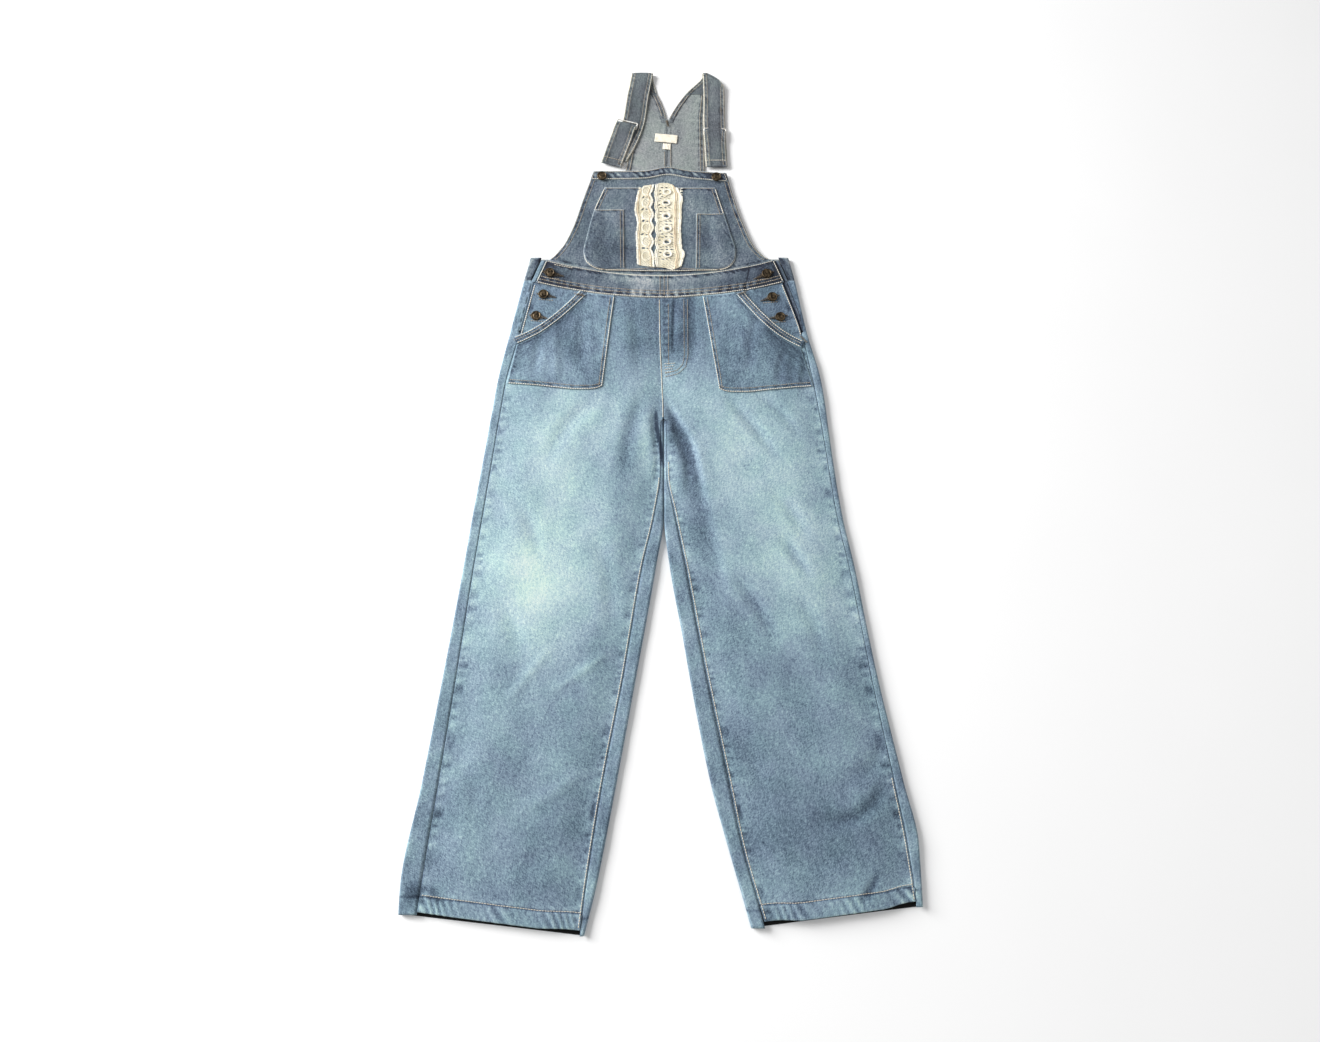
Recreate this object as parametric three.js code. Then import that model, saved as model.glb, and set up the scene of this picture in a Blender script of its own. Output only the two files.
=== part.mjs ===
// Denim dungarees laid flat, front side up, with the bib above the trousers and both straps folded forward.
// Millimetres, +Z up. X runs to the right as the garment is seen from above, Y from the hems to the straps,
// and Z = 0 is the surface that the back panels rest on. Left and right are as seen, not as worn.
import * as THREE from 'three';

// Driving sizes: walls, gaps and lofts.
const DENIM = 2.0; // one layer of denim
const PATCH = 1.5; // a patch sewn on a panel
const WEB = 1.6; // a strap
const LACE = 1.0;
const PAPER = 0.6; // neck label
const SEAM = 0.3; // between neighbouring pieces
const LEG_LOFT = 7.6; // height of the legs' upper face
const BIB_LOFT = 5.4; // height of the bib's upper face at its top edge
const TURN = LEG_LOFT / 2; // radius where the back panel turns up round the side

// Driving sizes: lengths and widths.
const MIDDLE = { x: 1.4, y: 721.2 }; // centre of the garment's outline, the part's origin
const HIP_Y = 979; // lower edge of the front waistband at the centre
const WAISTBAND_DEPTH = 43;
const WAIST_HALF = 212; // half of the front waistband's lower edge
const WAIST_SAG = 30; // the waistband's ends lie this much above its centre
const WAISTBAND_END = { foot: 210, top: 194 }; // X of its right end's lower and upper corners
const WAISTBAND_EXTRA = 0.5; // it is this much thicker than one layer
const BACK_BAND_Y = 1012; // lower edge of the back waistband
const BACK_BAND_DEPTH = 44;
const BACK_BAND_LEAN = 0.21; // inward per millimetre of height
const CROTCH_Y = 756;
const CROTCH_ROLL = 9; // the inner sides unroll over this distance below and above the crotch
const SPLIT_Y = 915; // foot of the side openings
const HEM_RISE = 27; // the outer corner of a hem lies this much above its inner corner
const HEM_FADE = 240; // height at which the slant of the hems has faded out
const HEM_DEPTH = 23;
const HEM_EXTRA = 0.7; // the turned-up hem is this much thicker
const FRONT_HEM_SHORT = 4; // the front hem ends this much above the back one
const FOLD_LIMIT = 3; // no fold is deeper
const FOLD_BARE = 14; // the folds fade out within this distance of a seam
const POCKET_BAND = 14;
const POCKET_BAND_EXTRA = 0.3;
const POCKET_CORNER = 6; // the inner lower corner of a hip pocket is cut off by this much
const POCKET_MOUTH_START = 0.3; // share of a hip pocket's width that lies inside its mouth
const BIB_TOP_Y = 1227;
const BIB_BAND = { depth: 18, left: -117, right: 115, flare: 5, wall: 1.1 };
const BIB_RISE = { x: 14, spread: 28, height: 9, lift: 2 }; // the low rise of the bib's upper edge
const BIB_DROP = { from: 60, to: 110, depth: 4 }; // where that edge sinks to the right
const BIB_POCKET_FOOT = 1031;
const SIDE_POCKET = { top: 1147, wall: 1.2, inset: 1.5 };
const STRAP_FOLD = 2.7; // radius of a strap's middle face where it folds forward
const BUTTON = { radius: 8.5, rim: 7.2, height: 3.2, dish: 0.7, sides: 14 };
const SLIDER = { width: 42, depth: 16, bar: 3.0, thick: 1.8, corner: 2.5 };
const UNDERLAP = { show: 8, under: 16, step: 5, lip: 1.2, wall: 1.2, drop: 0.6, clear: 6, foot: 3 };

// Outlines of the legs, one row for each height Y. Outer and inner are the silhouette, where the back panel
// turns up; outseam and inseam are the lines where the front panel meets it. X, in millimetres.
const LEFT_LEG = [
  { y: 0, outer: -363, outseam: -339, inseam: -111, inner: -105 },
  { y: 60, outer: -364, outseam: -334, inseam: -104, inner: -90 },
  { y: 200, outer: -344, outseam: -319, inseam: -83, inner: -63 },
  { y: 350, outer: -324, outseam: -303, inseam: -55, inner: -36 },
  { y: 520, outer: -303, outseam: -286, inseam: -27, inner: -6 },
  { y: 600, outer: -294, outseam: -277, inseam: -9, inner: 5.8 },
  { y: 672, outer: -285, outseam: -269, inseam: 1.2, inner: 5.8 },
  { y: 756, outer: -275, outseam: -260, inseam: 1.2, inner: 5.8 },
  { y: 764, outer: -274, outseam: -259, inseam: 5.8, inner: 5.8 },
  { y: 772, outer: -273, outseam: -258, inseam: 5.8, inner: 5.8 },
  { y: 830, outer: -266, outseam: -251, inseam: 3.8, inner: 3.8 },
  { y: 915, outer: -250, outseam: -232, inseam: 0.8, inner: 0.8 },
  { y: 1012, outer: -231, outseam: -212, inseam: -0.2, inner: -0.2 },
];
const RIGHT_LEG = [
  { y: 0, outer: 362, outseam: 356, inseam: 148, inner: 129 },
  { y: 40, outer: 366, outseam: 356, inseam: 138, inner: 118 },
  { y: 120, outer: 367, outseam: 350, inseam: 116, inner: 95 },
  { y: 202, outer: 352, outseam: 338, inseam: 100, inner: 73 },
  { y: 348, outer: 325, outseam: 315, inseam: 71, inner: 45 },
  { y: 407, outer: 316, outseam: 307, inseam: 60, inner: 35 },
  { y: 520, outer: 300, outseam: 291, inseam: 40, inner: 15 },
  { y: 600, outer: 286, outseam: 277, inseam: 24, inner: 6.2 },
  { y: 672, outer: 278, outseam: 269, inseam: 10.8, inner: 6.2 },
  { y: 756, outer: 271, outseam: 260, inseam: 10.8, inner: 6.2 },
  { y: 764, outer: 270.5, outseam: 259, inseam: 6.2, inner: 6.2 },
  { y: 772, outer: 270, outseam: 258, inseam: 6.2, inner: 6.2 },
  { y: 830, outer: 264, outseam: 250, inseam: 4.2, inner: 4.2 },
  { y: 915, outer: 245, outseam: 235, inseam: 1.2, inner: 1.2 },
  { y: 1012, outer: 229, outseam: 206, inseam: 0.2, inner: 0.2 },
];

// The largest folds of the legs, each along a line from (x0, y0) to (x1, y1). A negative depth is a trough.
const FOLDS = [
  { x0: 14, y0: 778, x1: 50, y1: 713, width: 14, depth: -2.6 },
  { x0: 50, y0: 713, x1: 64, y1: 633, width: 13, depth: -2.8 },
  { x0: 64, y0: 633, x1: 73, y1: 542, width: 14, depth: -2.2 },
  { x0: 124, y0: 778, x1: 182, y1: 703, width: 15, depth: -2.0 },
  { x0: 194, y0: 556, x1: 224, y1: 512, width: 14, depth: -1.8 },
  { x0: 121, y0: 496, x1: 171, y1: 410, width: 16, depth: -2.0 },
  { x0: 320, y0: 197, x1: 298, y1: 168, width: 15, depth: -2.4 },
  { x0: 298, y0: 168, x1: 233, y1: 150, width: 15, depth: -2.6 },
  { x0: 300, y0: 82, x1: 281, y1: 52, width: 12, depth: -1.4 },
  { x0: -12, y0: 765, x1: -6, y1: 700, width: 10, depth: -2.4 },
  { x0: -236, y0: 300, x1: -176, y1: 372, width: 13, depth: -1.8 },
  { x0: -174, y0: 318, x1: -92, y1: 368, width: 13, depth: -1.8 },
  { x0: -210, y0: 143, x1: -118, y1: 194, width: 14, depth: -1.6 },
  { x0: -212, y0: 640, x1: -150, y1: 560, width: 18, depth: -1.6 },
  { x0: -96, y0: 520, x1: -66, y1: 420, width: 16, depth: -1.5 },
];

// Outlines of the bib and of what lies on it, from below upward: their left and right edges.
const BIB_EDGE = [
  { y: 1020, left: -203, right: 203 },
  { y: 1054, left: -190, right: 190 },
  { y: 1067, left: -180, right: 176 },
  { y: 1090, left: -165, right: 160 },
  { y: 1126, left: -150, right: 146 },
  { y: 1179, left: -134, right: 129 },
  { y: 1227, left: -118, right: 117 },
];
const BIB_POCKET_EDGE = [
  { y: 1031, left: -94, right: 99 },
  { y: 1034, left: -108, right: 112 },
  { y: 1041, left: -120, right: 122 },
  { y: 1051, left: -128, right: 128 },
  { y: 1067, left: -131, right: 130 },
  { y: 1098, left: -126, right: 123 },
  { y: 1147, left: -115, right: 110 },
  { y: 1195, left: -97, right: 97 },
];
const BACK_BIB_EDGE = [
  { y: 1056, left: -182, right: 182 },
  { y: 1072, left: -174, right: 168 },
  { y: 1110, left: -138, right: 136 },
  { y: 1150, left: -104, right: 108 },
  { y: 1195, left: -75, right: 88 },
  { y: 1240, left: -60, right: 79 },
  { y: 1334, left: -50, right: 79 },
  { y: 1394, left: -50, right: 84 },
];
// The V of the back: its foot, and how far its two sides have parted at the straps. Below it the seam drifts
// to the middle of the waist over the length named.
const NOTCH = { x: 13, y: 1334, topY: 1394, left: -5, right: 46, drift: 200 };

// The two lace trims: their edges before the scallops, and each row of eyes from the first one upward.
const LACE_TRIMS = [
  {
    name: 'lace_trim_left', left: -38.5, right: -15, foot: 1034, top: 1200,
    reach: 1.8, scallops: 12, pitch: 26,
    eyes: [{ x: -30.5, first: 1042, rx: 1.8, ry: 1.8 }],
  },
  {
    name: 'lace_trim_right', left: -9.5, right: 36, foot: 1032, top: 1203,
    reach: 2.2, scallops: 14, pitch: 25.2,
    eyes: [
      { x: 10, first: 1058, rx: 3.8, ry: 3.1 },
      { x: -3, first: 1045.4, rx: 1.6, ry: 1.8 },
      { x: 24, first: 1045.4, rx: 1.5, ry: 2.4 },
    ],
  },
];

// Inner and upper edges of the patch pockets on the hips.
const HIP_POCKETS = {
  left: {
    leg: LEFT_LEG, foot: 811, topIn: -76, footIn: -94,
    mouthIn: -123, mouthY: 984, mouthOut: -237, lowY: 893, sag: 13,
  },
  right: {
    leg: RIGHT_LEG, foot: 806, topIn: 71, footIn: 96,
    mouthIn: 128, mouthY: 984, mouthOut: 233, lowY: 886, sag: 15,
  },
};

// Centres of the buttons, and what each is sewn on.
const BUTTONS = [
  { name: 'button_bib_left', x: -102, y: 1217, on: 'bib' },
  { name: 'button_bib_right', x: 99, y: 1215, on: 'bib' },
  { name: 'button_side_left_1', x: -187, y: 1026, on: 'waistband' },
  { name: 'button_side_left_2', x: -196, y: 985, on: 'leg' },
  { name: 'button_side_left_3', x: -207, y: 945, on: 'leg' },
  { name: 'button_side_right_1', x: 181, y: 1024, on: 'waistband' },
  { name: 'button_side_right_2', x: 189, y: 980, on: 'leg' },
  { name: 'button_side_right_3', x: 201, y: 943, on: 'leg' },
];

// The neck label and the small tab below it.
const LABELS = [
  { name: 'neck_label', width: 40, height: 17, x: 11, y: 1299, turn: -6 },
  { name: 'size_tab', width: 14, height: 12, x: 12, y: 1282, turn: -6 },
];

// Strap stations from the back bib over the fold to the lower end: both edges in plan, and the height of the
// strap's lower face. The fold itself is worked out between the rows marked before and after it.
const STRAPS = {
  left: {
    back: [
      { lx: -50, ly: 1394.4, rx: -5, ry: 1394.4 },
      { lx: -52, ly: 1436, rx: -13, ry: 1436 },
    ],
    front: [
      { lx: -53, ly: 1427, rx: -14, ry: 1427, z: 5.2 },
      { lx: -60, ly: 1385, rx: -21, ry: 1383, z: 3.6 },
      { lx: -66, ly: 1341, rx: -27, ry: 1334, z: 2.5 },
      { lx: -77, ly: 1300, rx: -40, ry: 1290, z: 2.5 },
      { lx: -97, ly: 1262, rx: -59, ry: 1250, z: 2.5 },
    ],
    end: [
      { lx: -78, ly: 1333, rx: -42, ry: 1323, rise: 2.1 },
      { lx: -82, ly: 1321, rx: -46, ry: 1311, rise: 2.1 },
      { lx: -87, ly: 1305, rx: -51, ry: 1294, rise: 0 },
      { lx: -104, ly: 1247, rx: -69, ry: 1237, rise: 0 },
    ],
    slider: { x: -57, y: 1329, turn: -14 },
  },
  right: {
    back: [
      { lx: 46, ly: 1394.4, rx: 84, ry: 1394.4 },
      { lx: 80, ly: 1438, rx: 113, ry: 1415 },
    ],
    front: [
      { lx: 80, ly: 1436, rx: 115, ry: 1412, z: 5.2 },
      { lx: 79, ly: 1384, rx: 117, ry: 1384, z: 3.6 },
      { lx: 78, ly: 1334, rx: 117, ry: 1334, z: 2.5 },
      { lx: 79, ly: 1290, rx: 118, ry: 1290, z: 2.5 },
      { lx: 80, ly: 1250, rx: 119, ry: 1250, z: 2.5 },
    ],
    end: [
      { lx: 78, ly: 1319, rx: 117, ry: 1317, rise: 2.1 },
      { lx: 78, ly: 1307, rx: 117, ry: 1305, rise: 2.1 },
      { lx: 79, ly: 1290, rx: 117, ry: 1289, rise: 0 },
      { lx: 81, ly: 1238, rx: 119, ry: 1238, rise: 0 },
    ],
    slider: { x: 98, y: 1318, turn: -3 },
  },
};
const STRAP_SLACK = 0.3; // between an end piece and the layer below it

const COLOURS = {
  leg: 0x7b9fb6,
  waist: 0x67859c,
  bib: 0x6f8ea6,
  patch: 0x6a8ba6,
  strap: 0x76848c,
  inside: 0xb4bec4,
  lace: 0xefe7cd,
  label: 0xefe9da,
  bronze: 0x6b5a42,
  steel: 0xb9b8b2,
};

const { lerp, clamp, smoothstep, degToRad } = THREE.MathUtils;
const garment = new THREE.Group();

// A column of a table at height y, on a smooth curve through its rows that never swings past them: the
// slope at a row is the harmonic mean of the slopes beside it, or nothing where they differ in sign.
function column(table, name, y) {
  const last = table.length - 1;
  const found = table.findIndex((row) => row.y > y);
  const k = clamp(found < 0 ? last : found, 1, last) - 1;
  const slope = (i) => (table[i + 1][name] - table[i][name]) / (table[i + 1].y - table[i].y);
  const tangent = (i) => {
    if (i === 0) return slope(0);
    if (i === last) return slope(last - 1);
    const [p, q] = [slope(i - 1), slope(i)];
    return p * q > 0 ? (2 * p * q) / (p + q) : 0;
  };
  const span = table[k + 1].y - table[k].y;
  const t = (y - table[k].y) / span;
  if (t < 0) return table[k][name] + tangent(k) * (y - table[k].y);
  if (t > 1) return table[k + 1][name] + tangent(k + 1) * (y - table[k + 1].y);
  const [t2, t3] = [t * t, t * t * t];
  return (2 * t3 - 3 * t2 + 1) * table[k][name] + (t3 - 2 * t2 + t) * span * tangent(k)
    + (3 * t2 - 2 * t3) * table[k + 1][name] + (t3 - t2) * span * tangent(k + 1);
}

// Height of the upper face of the front before its folds: level over the legs, then falling along the bib.
function frontLoft(y) {
  return LEG_LOFT - (LEG_LOFT - BIB_LOFT) * Math.max(0, (y - HIP_Y) / (BIB_TOP_Y - HIP_Y));
}

// What the folds add to the height at a point: each fades as a bell across its line and past its ends.
function foldHeight(x, y) {
  let height = 0;
  for (const f of FOLDS) {
    const [dx, dy] = [f.x1 - f.x0, f.y1 - f.y0];
    const along = clamp(((x - f.x0) * dx + (y - f.y0) * dy) / (dx * dx + dy * dy), 0, 1);
    const away = Math.hypot(x - f.x0 - along * dx, y - f.y0 - along * dy);
    height += f.depth * Math.exp(-((away / f.width) ** 2));
  }
  return Math.max(height, -FOLD_LIMIT);
}

// Y of the front waistband's lower edge at x: a shallow arc whose ends lie higher.
function waistY(x) {
  return HIP_Y + WAIST_SAG * (x / WAIST_HALF) ** 2;
}

// A mesh named for its node, in the garment's group.
function addMesh(name, geometry, colour, metalness = 0, roughness = 0.9) {
  const material = new THREE.MeshStandardMaterial({ color: colour, metalness, roughness });
  const mesh = new THREE.Mesh(geometry, material);
  mesh.name = name;
  garment.add(mesh);
  return mesh;
}

// Signed volume of a closed mesh: it is positive where the faces point out.
function signedVolume(points, faces) {
  return faces.reduce((sum, [a, b, c]) => {
    const [p, q, r] = [points[a], points[b], points[c]];
    return sum + p.dot(new THREE.Vector3().crossVectors(q, r)) / 6;
  }, 0);
}

// One closed body between two grids of points of the same size, upper and lower, joined along their rims.
function shell(upper, lower) {
  const rows = upper.length;
  const cols = upper[0].length;
  const points = [...upper.flat(), ...lower.flat()];
  const up = (i, j) => i * cols + j;
  const low = (i, j) => rows * cols + i * cols + j;
  const faces = [];
  const quad = (a, b, c, d) => faces.push([a, b, c], [a, c, d]);
  for (let i = 0; i < rows - 1; i++) {
    for (let j = 0; j < cols - 1; j++) {
      quad(up(i, j), up(i, j + 1), up(i + 1, j + 1), up(i + 1, j));
      quad(low(i, j), low(i + 1, j), low(i + 1, j + 1), low(i, j + 1));
    }
    quad(up(i, 0), up(i + 1, 0), low(i + 1, 0), low(i, 0));
    quad(up(i + 1, cols - 1), up(i, cols - 1), low(i, cols - 1), low(i + 1, cols - 1));
  }
  for (let j = 0; j < cols - 1; j++) {
    quad(up(0, j + 1), up(0, j), low(0, j), low(0, j + 1));
    quad(up(rows - 1, j), up(rows - 1, j + 1), low(rows - 1, j + 1), low(rows - 1, j));
  }
  if (signedVolume(points, faces) < 0) faces.forEach((face) => face.reverse());
  const geometry = new THREE.BufferGeometry();
  geometry.setAttribute('position', new THREE.Float32BufferAttribute(points.flatMap((p) => p.toArray()), 3));
  geometry.setIndex(faces.flat());
  geometry.computeVertexNormals();
  return geometry;
}

// Numbers from 0 to 1 in equal steps.
function steps(count) {
  return Array.from({ length: count + 1 }, (_, k) => k / count);
}

// A nearly level panel: plan(u, v) gives its point in plan, top(x, y) its upper face, and wall its thickness.
function panel(name, colour, size, plan, top, wall) {
  const upper = steps(size.rows).map((v) => steps(size.cols).map((u) => {
    const [x, y] = plan(u, v);
    return new THREE.Vector3(x, y, top(x, y));
  }));
  const lower = upper.map((row) => row.map((p) => new THREE.Vector3(p.x, p.y, p.z - wall(p.x, p.y))));
  return addMesh(name, shell(upper, lower), colour);
}

const LEG_SIDES = {
  left: { table: LEFT_LEG, sign: -1, foot: 1 },
  right: { table: RIGHT_LEG, sign: 1, foot: 11 },
};

// Rows of the hips above the crotch: Y at the centre seam and at the outseam, which rises with the waist.
const HIP_ROWS = [
  { y: CROTCH_Y + CROTCH_ROLL, out: CROTCH_Y + CROTCH_ROLL },
  { y: 797, out: 797 },
  { y: 830, out: 830 },
  { y: 868, out: 873 },
  { y: 904, out: SPLIT_Y },
  { y: 942, out: 961 },
  { y: HIP_Y, out: HIP_Y + WAIST_SAG },
];

// Rows of a leg from hem to crotch, shared by its front and back so that their seams run together. Every
// stretch of the table is parted evenly, and the hem's slant lifts the outer end of each row.
function legRows(side) {
  const { table, foot } = LEG_SIDES[side];
  const longest = 50;
  const marks = [foot, foot + HEM_DEPTH, foot + HEM_DEPTH + 2];
  marks.push(...table.map((row) => row.y).filter((y) => y > marks[2] + 8 && y < CROTCH_Y - 20));
  marks.push(CROTCH_Y - CROTCH_ROLL);
  const rows = [foot];
  for (let k = 1; k < marks.length; k++) {
    const parts = Math.ceil((marks[k] - marks[k - 1]) / longest);
    steps(parts).slice(1).forEach((t) => rows.push(lerp(marks[k - 1], marks[k], t)));
  }
  return rows.map((y) => ({ y, out: y + HEM_RISE * Math.max(0, 1 - (y - foot) / HEM_FADE) }));
}

// Front of one leg with its half of the hips, from the inseam or centre seam to the outseam. The turned-up
// hem is thicker than the rest.
function frontLeg(side) {
  const { table, foot } = LEG_SIDES[side];
  const rows = [...legRows(side), ...HIP_ROWS];
  rows[0] = { y: rows[0].y + FRONT_HEM_SHORT, out: rows[0].out + FRONT_HEM_SHORT };
  const point = (row, u) => {
    const x = lerp(column(table, 'inseam', row.y), column(table, 'outseam', row.out), u);
    const isWaist = row.y === HIP_Y;
    const y = isWaist ? waistY(x) - SEAM : lerp(row.y, row.out, row.y > CROTCH_Y ? u * u : u);
    const [inX, outX] = [column(table, 'inseam', y), column(table, 'outseam', y)];
    const inside = Math.min(Math.abs(x - inX), Math.abs(x - outX));
    const hem = row.y <= foot + HEM_DEPTH ? HEM_EXTRA : 0;
    const fold = foldHeight(x, y) * clamp(inside / FOLD_BARE, 0, 1);
    return { x, y, z: frontLoft(y) + fold, hem };
  };
  const grid = rows.map((row) => steps(10).map((u) => point(row, u)));
  const upper = grid.map((row) => row.map((p) => new THREE.Vector3(p.x, p.y, p.z + p.hem)));
  const lower = grid.map((row) => row.map((p) => new THREE.Vector3(p.x, p.y, p.z - DENIM)));
  addMesh(`front_leg_${side}`, shell(upper, lower), COLOURS.leg);
}

// One half of a back panel's section, from its upper end down to where it lies on the surface. A curl of 1
// turns it up and over in a half circle to a level margin that ends at side.end. With less curl the half
// circle unrolls to a shorter arc and a level stretch, and a curl of 0 lies flat up to side.x. Inward is the
// direction in X from the side to the middle of the panel.
function sectionHalf(side, inward) {
  const { x, end, curl = 1 } = side;
  const lip = 0.5;
  const inner = TURN - DENIM;
  const length = Math.PI * TURN;
  const level = (1 - curl) * length;
  const last = Math.PI * curl;
  const reach = curl >= 0.5 ? TURN : TURN * Math.sin(last) + lip * Math.cos(last);
  const start = x + inward * (level + reach);
  const points = steps(5).map((t) => {
    const s = length * (1 - t);
    const angle = Math.max(0, s - level) / TURN;
    const out = Math.min(s, level);
    const at = (r) => [start - inward * (out + r * Math.sin(angle)), TURN - r * Math.cos(angle)];
    return { outer: at(TURN), inner: at(inner) };
  });
  const [dx, dz] = [-inward * Math.cos(last) * lip, Math.sin(last) * lip];
  const beyond = ([px, pz]) => (curl === 1 ? [end, pz] : [px + dx, pz + dz]);
  return [{ outer: beyond(points[0].outer), inner: beyond(points[0].inner) }, ...points];
}

// Outer and inner faces of a back panel's whole section at one height, from side a along the surface that it
// rests on to side b.
function backSection(a, b) {
  const dir = Math.sign(b.x - a.x);
  const from = sectionHalf(a, dir);
  const to = sectionHalf(b, -dir).reverse();
  const [x0, x1] = [from[from.length - 1].outer[0], to[0].outer[0]];
  const floor = steps(3).slice(1, -1).map((t) => {
    const x = lerp(x0, x1, t);
    return { outer: [x, 0], inner: [x, DENIM], onFloor: true };
  });
  return [...from, ...floor, ...to];
}

// A back panel from its sections. Each station gives side a, side b and their heights in plan, ya and yb.
function backPanel(name, stations) {
  const grids = { outer: [], inner: [] };
  for (const s of stations) {
    const section = backSection(s.a, s.b);
    const half = section.length / 2;
    const across = (p, k) => (p.onFloor ? (p.outer[0] - s.a.x) / (s.b.x - s.a.x) : Number(k > half));
    for (const face of ['outer', 'inner']) {
      grids[face].push(section.map((p, k) => (
        new THREE.Vector3(p[face][0], lerp(s.ya, s.yb, across(p, k)), p[face][1])
      )));
    }
  }
  return addMesh(name, shell(grids.outer, grids.inner), COLOURS.leg);
}

// How much of the underlap shows beside the front's edge: less where the back panel's margin is narrow.
function underlapShow(table, y) {
  const margin = Math.abs(column(table, 'outer', y) - column(table, 'outseam', y));
  return Math.min(UNDERLAP.show, margin - TURN - 2);
}

// Back of one leg with its half of the seat. It turns up round both sides of the leg; above the crotch its
// inner side ends flat at the centre-back seam, and beside the side opening its margin stops short.
function backLeg(side) {
  const { table, sign } = LEG_SIDES[side];
  const split = 2;
  const hips = HIP_ROWS.filter((row) => row.out !== SPLIT_Y && row.y < HIP_Y);
  const ends = [SPLIT_Y - split, SPLIT_Y + split, BACK_BAND_Y - SEAM].map((y) => ({ y, out: y }));
  const crotch = { y: CROTCH_Y, out: CROTCH_Y };
  const above = [...hips, ...ends].sort((p, q) => p.out - q.out);
  const stations = [...legRows(side), crotch, ...above].map((row) => {
    const show = row.out > SPLIT_Y ? underlapShow(table, row.out) : 0;
    const curl = 0.5 + 0.5 * Math.sign(CROTCH_Y - row.y);
    const end = column(table, 'outseam', row.out) + sign * (show + SEAM);
    return {
      ya: row.out,
      yb: row.y > CROTCH_Y ? row.out : row.y,
      a: { x: column(table, 'outer', row.out), end },
      b: { x: column(table, 'inner', row.y), end: column(table, 'inseam', row.y) - sign * SEAM, curl },
    };
  });
  backPanel(`back_leg_${side}`, stations);
}

// The back waistband turns up at both ends, as the back of the hips does.
function backWaistband() {
  const rows = [BACK_BAND_Y, BACK_BAND_Y + BACK_BAND_DEPTH / 2, BACK_BAND_Y + BACK_BAND_DEPTH];
  const edge = (table, sign, y) => {
    const x = column(table, 'outer', BACK_BAND_Y) - sign * BACK_BAND_LEAN * (y - BACK_BAND_Y);
    const front = waistbandEnd(sign, clamp((y - BACK_BAND_Y) / WAISTBAND_DEPTH, 0, 1));
    return { x, end: front.x + sign * (UNDERLAP.show + SEAM) };
  };
  const stations = rows.map((y) => ({ ya: y, yb: y, a: edge(LEFT_LEG, -1, y), b: edge(RIGHT_LEG, 1, y) }));
  backPanel('waistband_back', stations).material.color.set(COLOURS.waist);
}

// An end of the front waistband: a line that leans inward from its lower corner to its upper one.
function waistbandEnd(sign, t) {
  const { foot, top } = WAISTBAND_END;
  return { x: sign * lerp(foot, top, t), y: waistY(foot) + t * WAISTBAND_DEPTH };
}

// The front waistband follows the arc of the waist.
function frontWaistband() {
  const plan = (u, v) => {
    const half = waistbandEnd(1, v).x;
    const x = lerp(-half, half, u);
    return [x, waistY((x * WAISTBAND_END.foot) / half) + v * WAISTBAND_DEPTH];
  };
  const top = (x, y) => frontLoft(y) + WAISTBAND_EXTRA;
  panel('waistband_front', COLOURS.waist, { rows: 2, cols: 18 }, plan, top, () => DENIM + WAISTBAND_EXTRA);
}

// Upper edge of the front waistband at x, where the bib starts.
function bibFootY(x) {
  return waistY((x * WAISTBAND_END.foot) / WAISTBAND_END.top) + WAISTBAND_DEPTH + SEAM;
}

// Upper edge of the bib: level, with a low rise near the middle, and sinking a little to the right.
function bibTopY(x) {
  const rise = BIB_RISE.height * Math.exp(-(((x - BIB_RISE.x) / BIB_RISE.spread) ** 2));
  return BIB_TOP_Y + BIB_RISE.lift + rise - BIB_DROP.depth * smoothstep(x, BIB_DROP.from, BIB_DROP.to);
}

// The bib fills its outline between the waistband and its own upper edge.
function bib() {
  const [foot, head] = [BIB_EDGE[0], BIB_EDGE[BIB_EDGE.length - 1]];
  const edge = (name, v) => column(BIB_EDGE, name, lerp(bibFootY(foot[name]), bibTopY(head[name]), v));
  const plan = (u, v) => {
    const x = lerp(edge('left', v), edge('right', v), u);
    return [x, lerp(bibFootY(x), bibTopY(x), v)];
  };
  panel('bib', COLOURS.bib, { rows: 10, cols: 10 }, plan, (x, y) => frontLoft(y), () => DENIM);
  const { depth, left, right, flare, wall } = BIB_BAND;
  const band = (u, v) => {
    const x = lerp(left, right, u);
    return [x + (1 - v) * lerp(-flare, flare, u), bibTopY(x) - (1 - v) * depth];
  };
  const bandTop = (x, y) => frontLoft(y) + SEAM + wall;
  panel('bib_top_band', COLOURS.bib, { rows: 1, cols: 14 }, band, bandTop, () => wall);
}

// Height of the upper face of the bib pocket.
function bibPocketTop(x, y) {
  return frontLoft(y) + SEAM + PATCH;
}

function bibPockets() {
  const rowsY = BIB_POCKET_EDGE.map((row) => row.y);
  const alongRows = (v) => {
    const k = Math.min(Math.floor(v * (rowsY.length - 1)), rowsY.length - 2);
    return lerp(rowsY[k], rowsY[k + 1], v * (rowsY.length - 1) - k);
  };
  const edge = (name, y) => column(BIB_POCKET_EDGE, name, y);
  const whole = (u, v) => {
    const y = alongRows(v);
    return [lerp(edge('left', y), edge('right', y), u), y];
  };
  panel('bib_pocket', COLOURS.patch, { rows: rowsY.length - 1, cols: 6 }, whole, bibPocketTop, () => PATCH);
  const { top: headY, wall, inset } = SIDE_POCKET;
  const sideRows = rowsY.filter((y) => y <= headY).length - 1;
  const sides = { left: { sign: -1, foot: 65, top: 60 }, right: { sign: 1, foot: 63, top: 62 } };
  for (const [name, side] of Object.entries(sides)) {
    const plan = (u, v) => {
      const y = alongRows((v * sideRows) / (rowsY.length - 1));
      const t = (y - BIB_POCKET_FOOT) / (headY - BIB_POCKET_FOOT);
      const inner = side.sign * lerp(side.foot, side.top, t);
      return [lerp(inner, edge(name, y) - side.sign * inset, u), y + inset];
    };
    const top = (x, y) => bibPocketTop(x, y) + SEAM + wall;
    panel(`bib_side_pocket_${name}`, COLOURS.patch, { rows: sideRows, cols: 3 }, plan, top, () => wall);
  }
}

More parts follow.
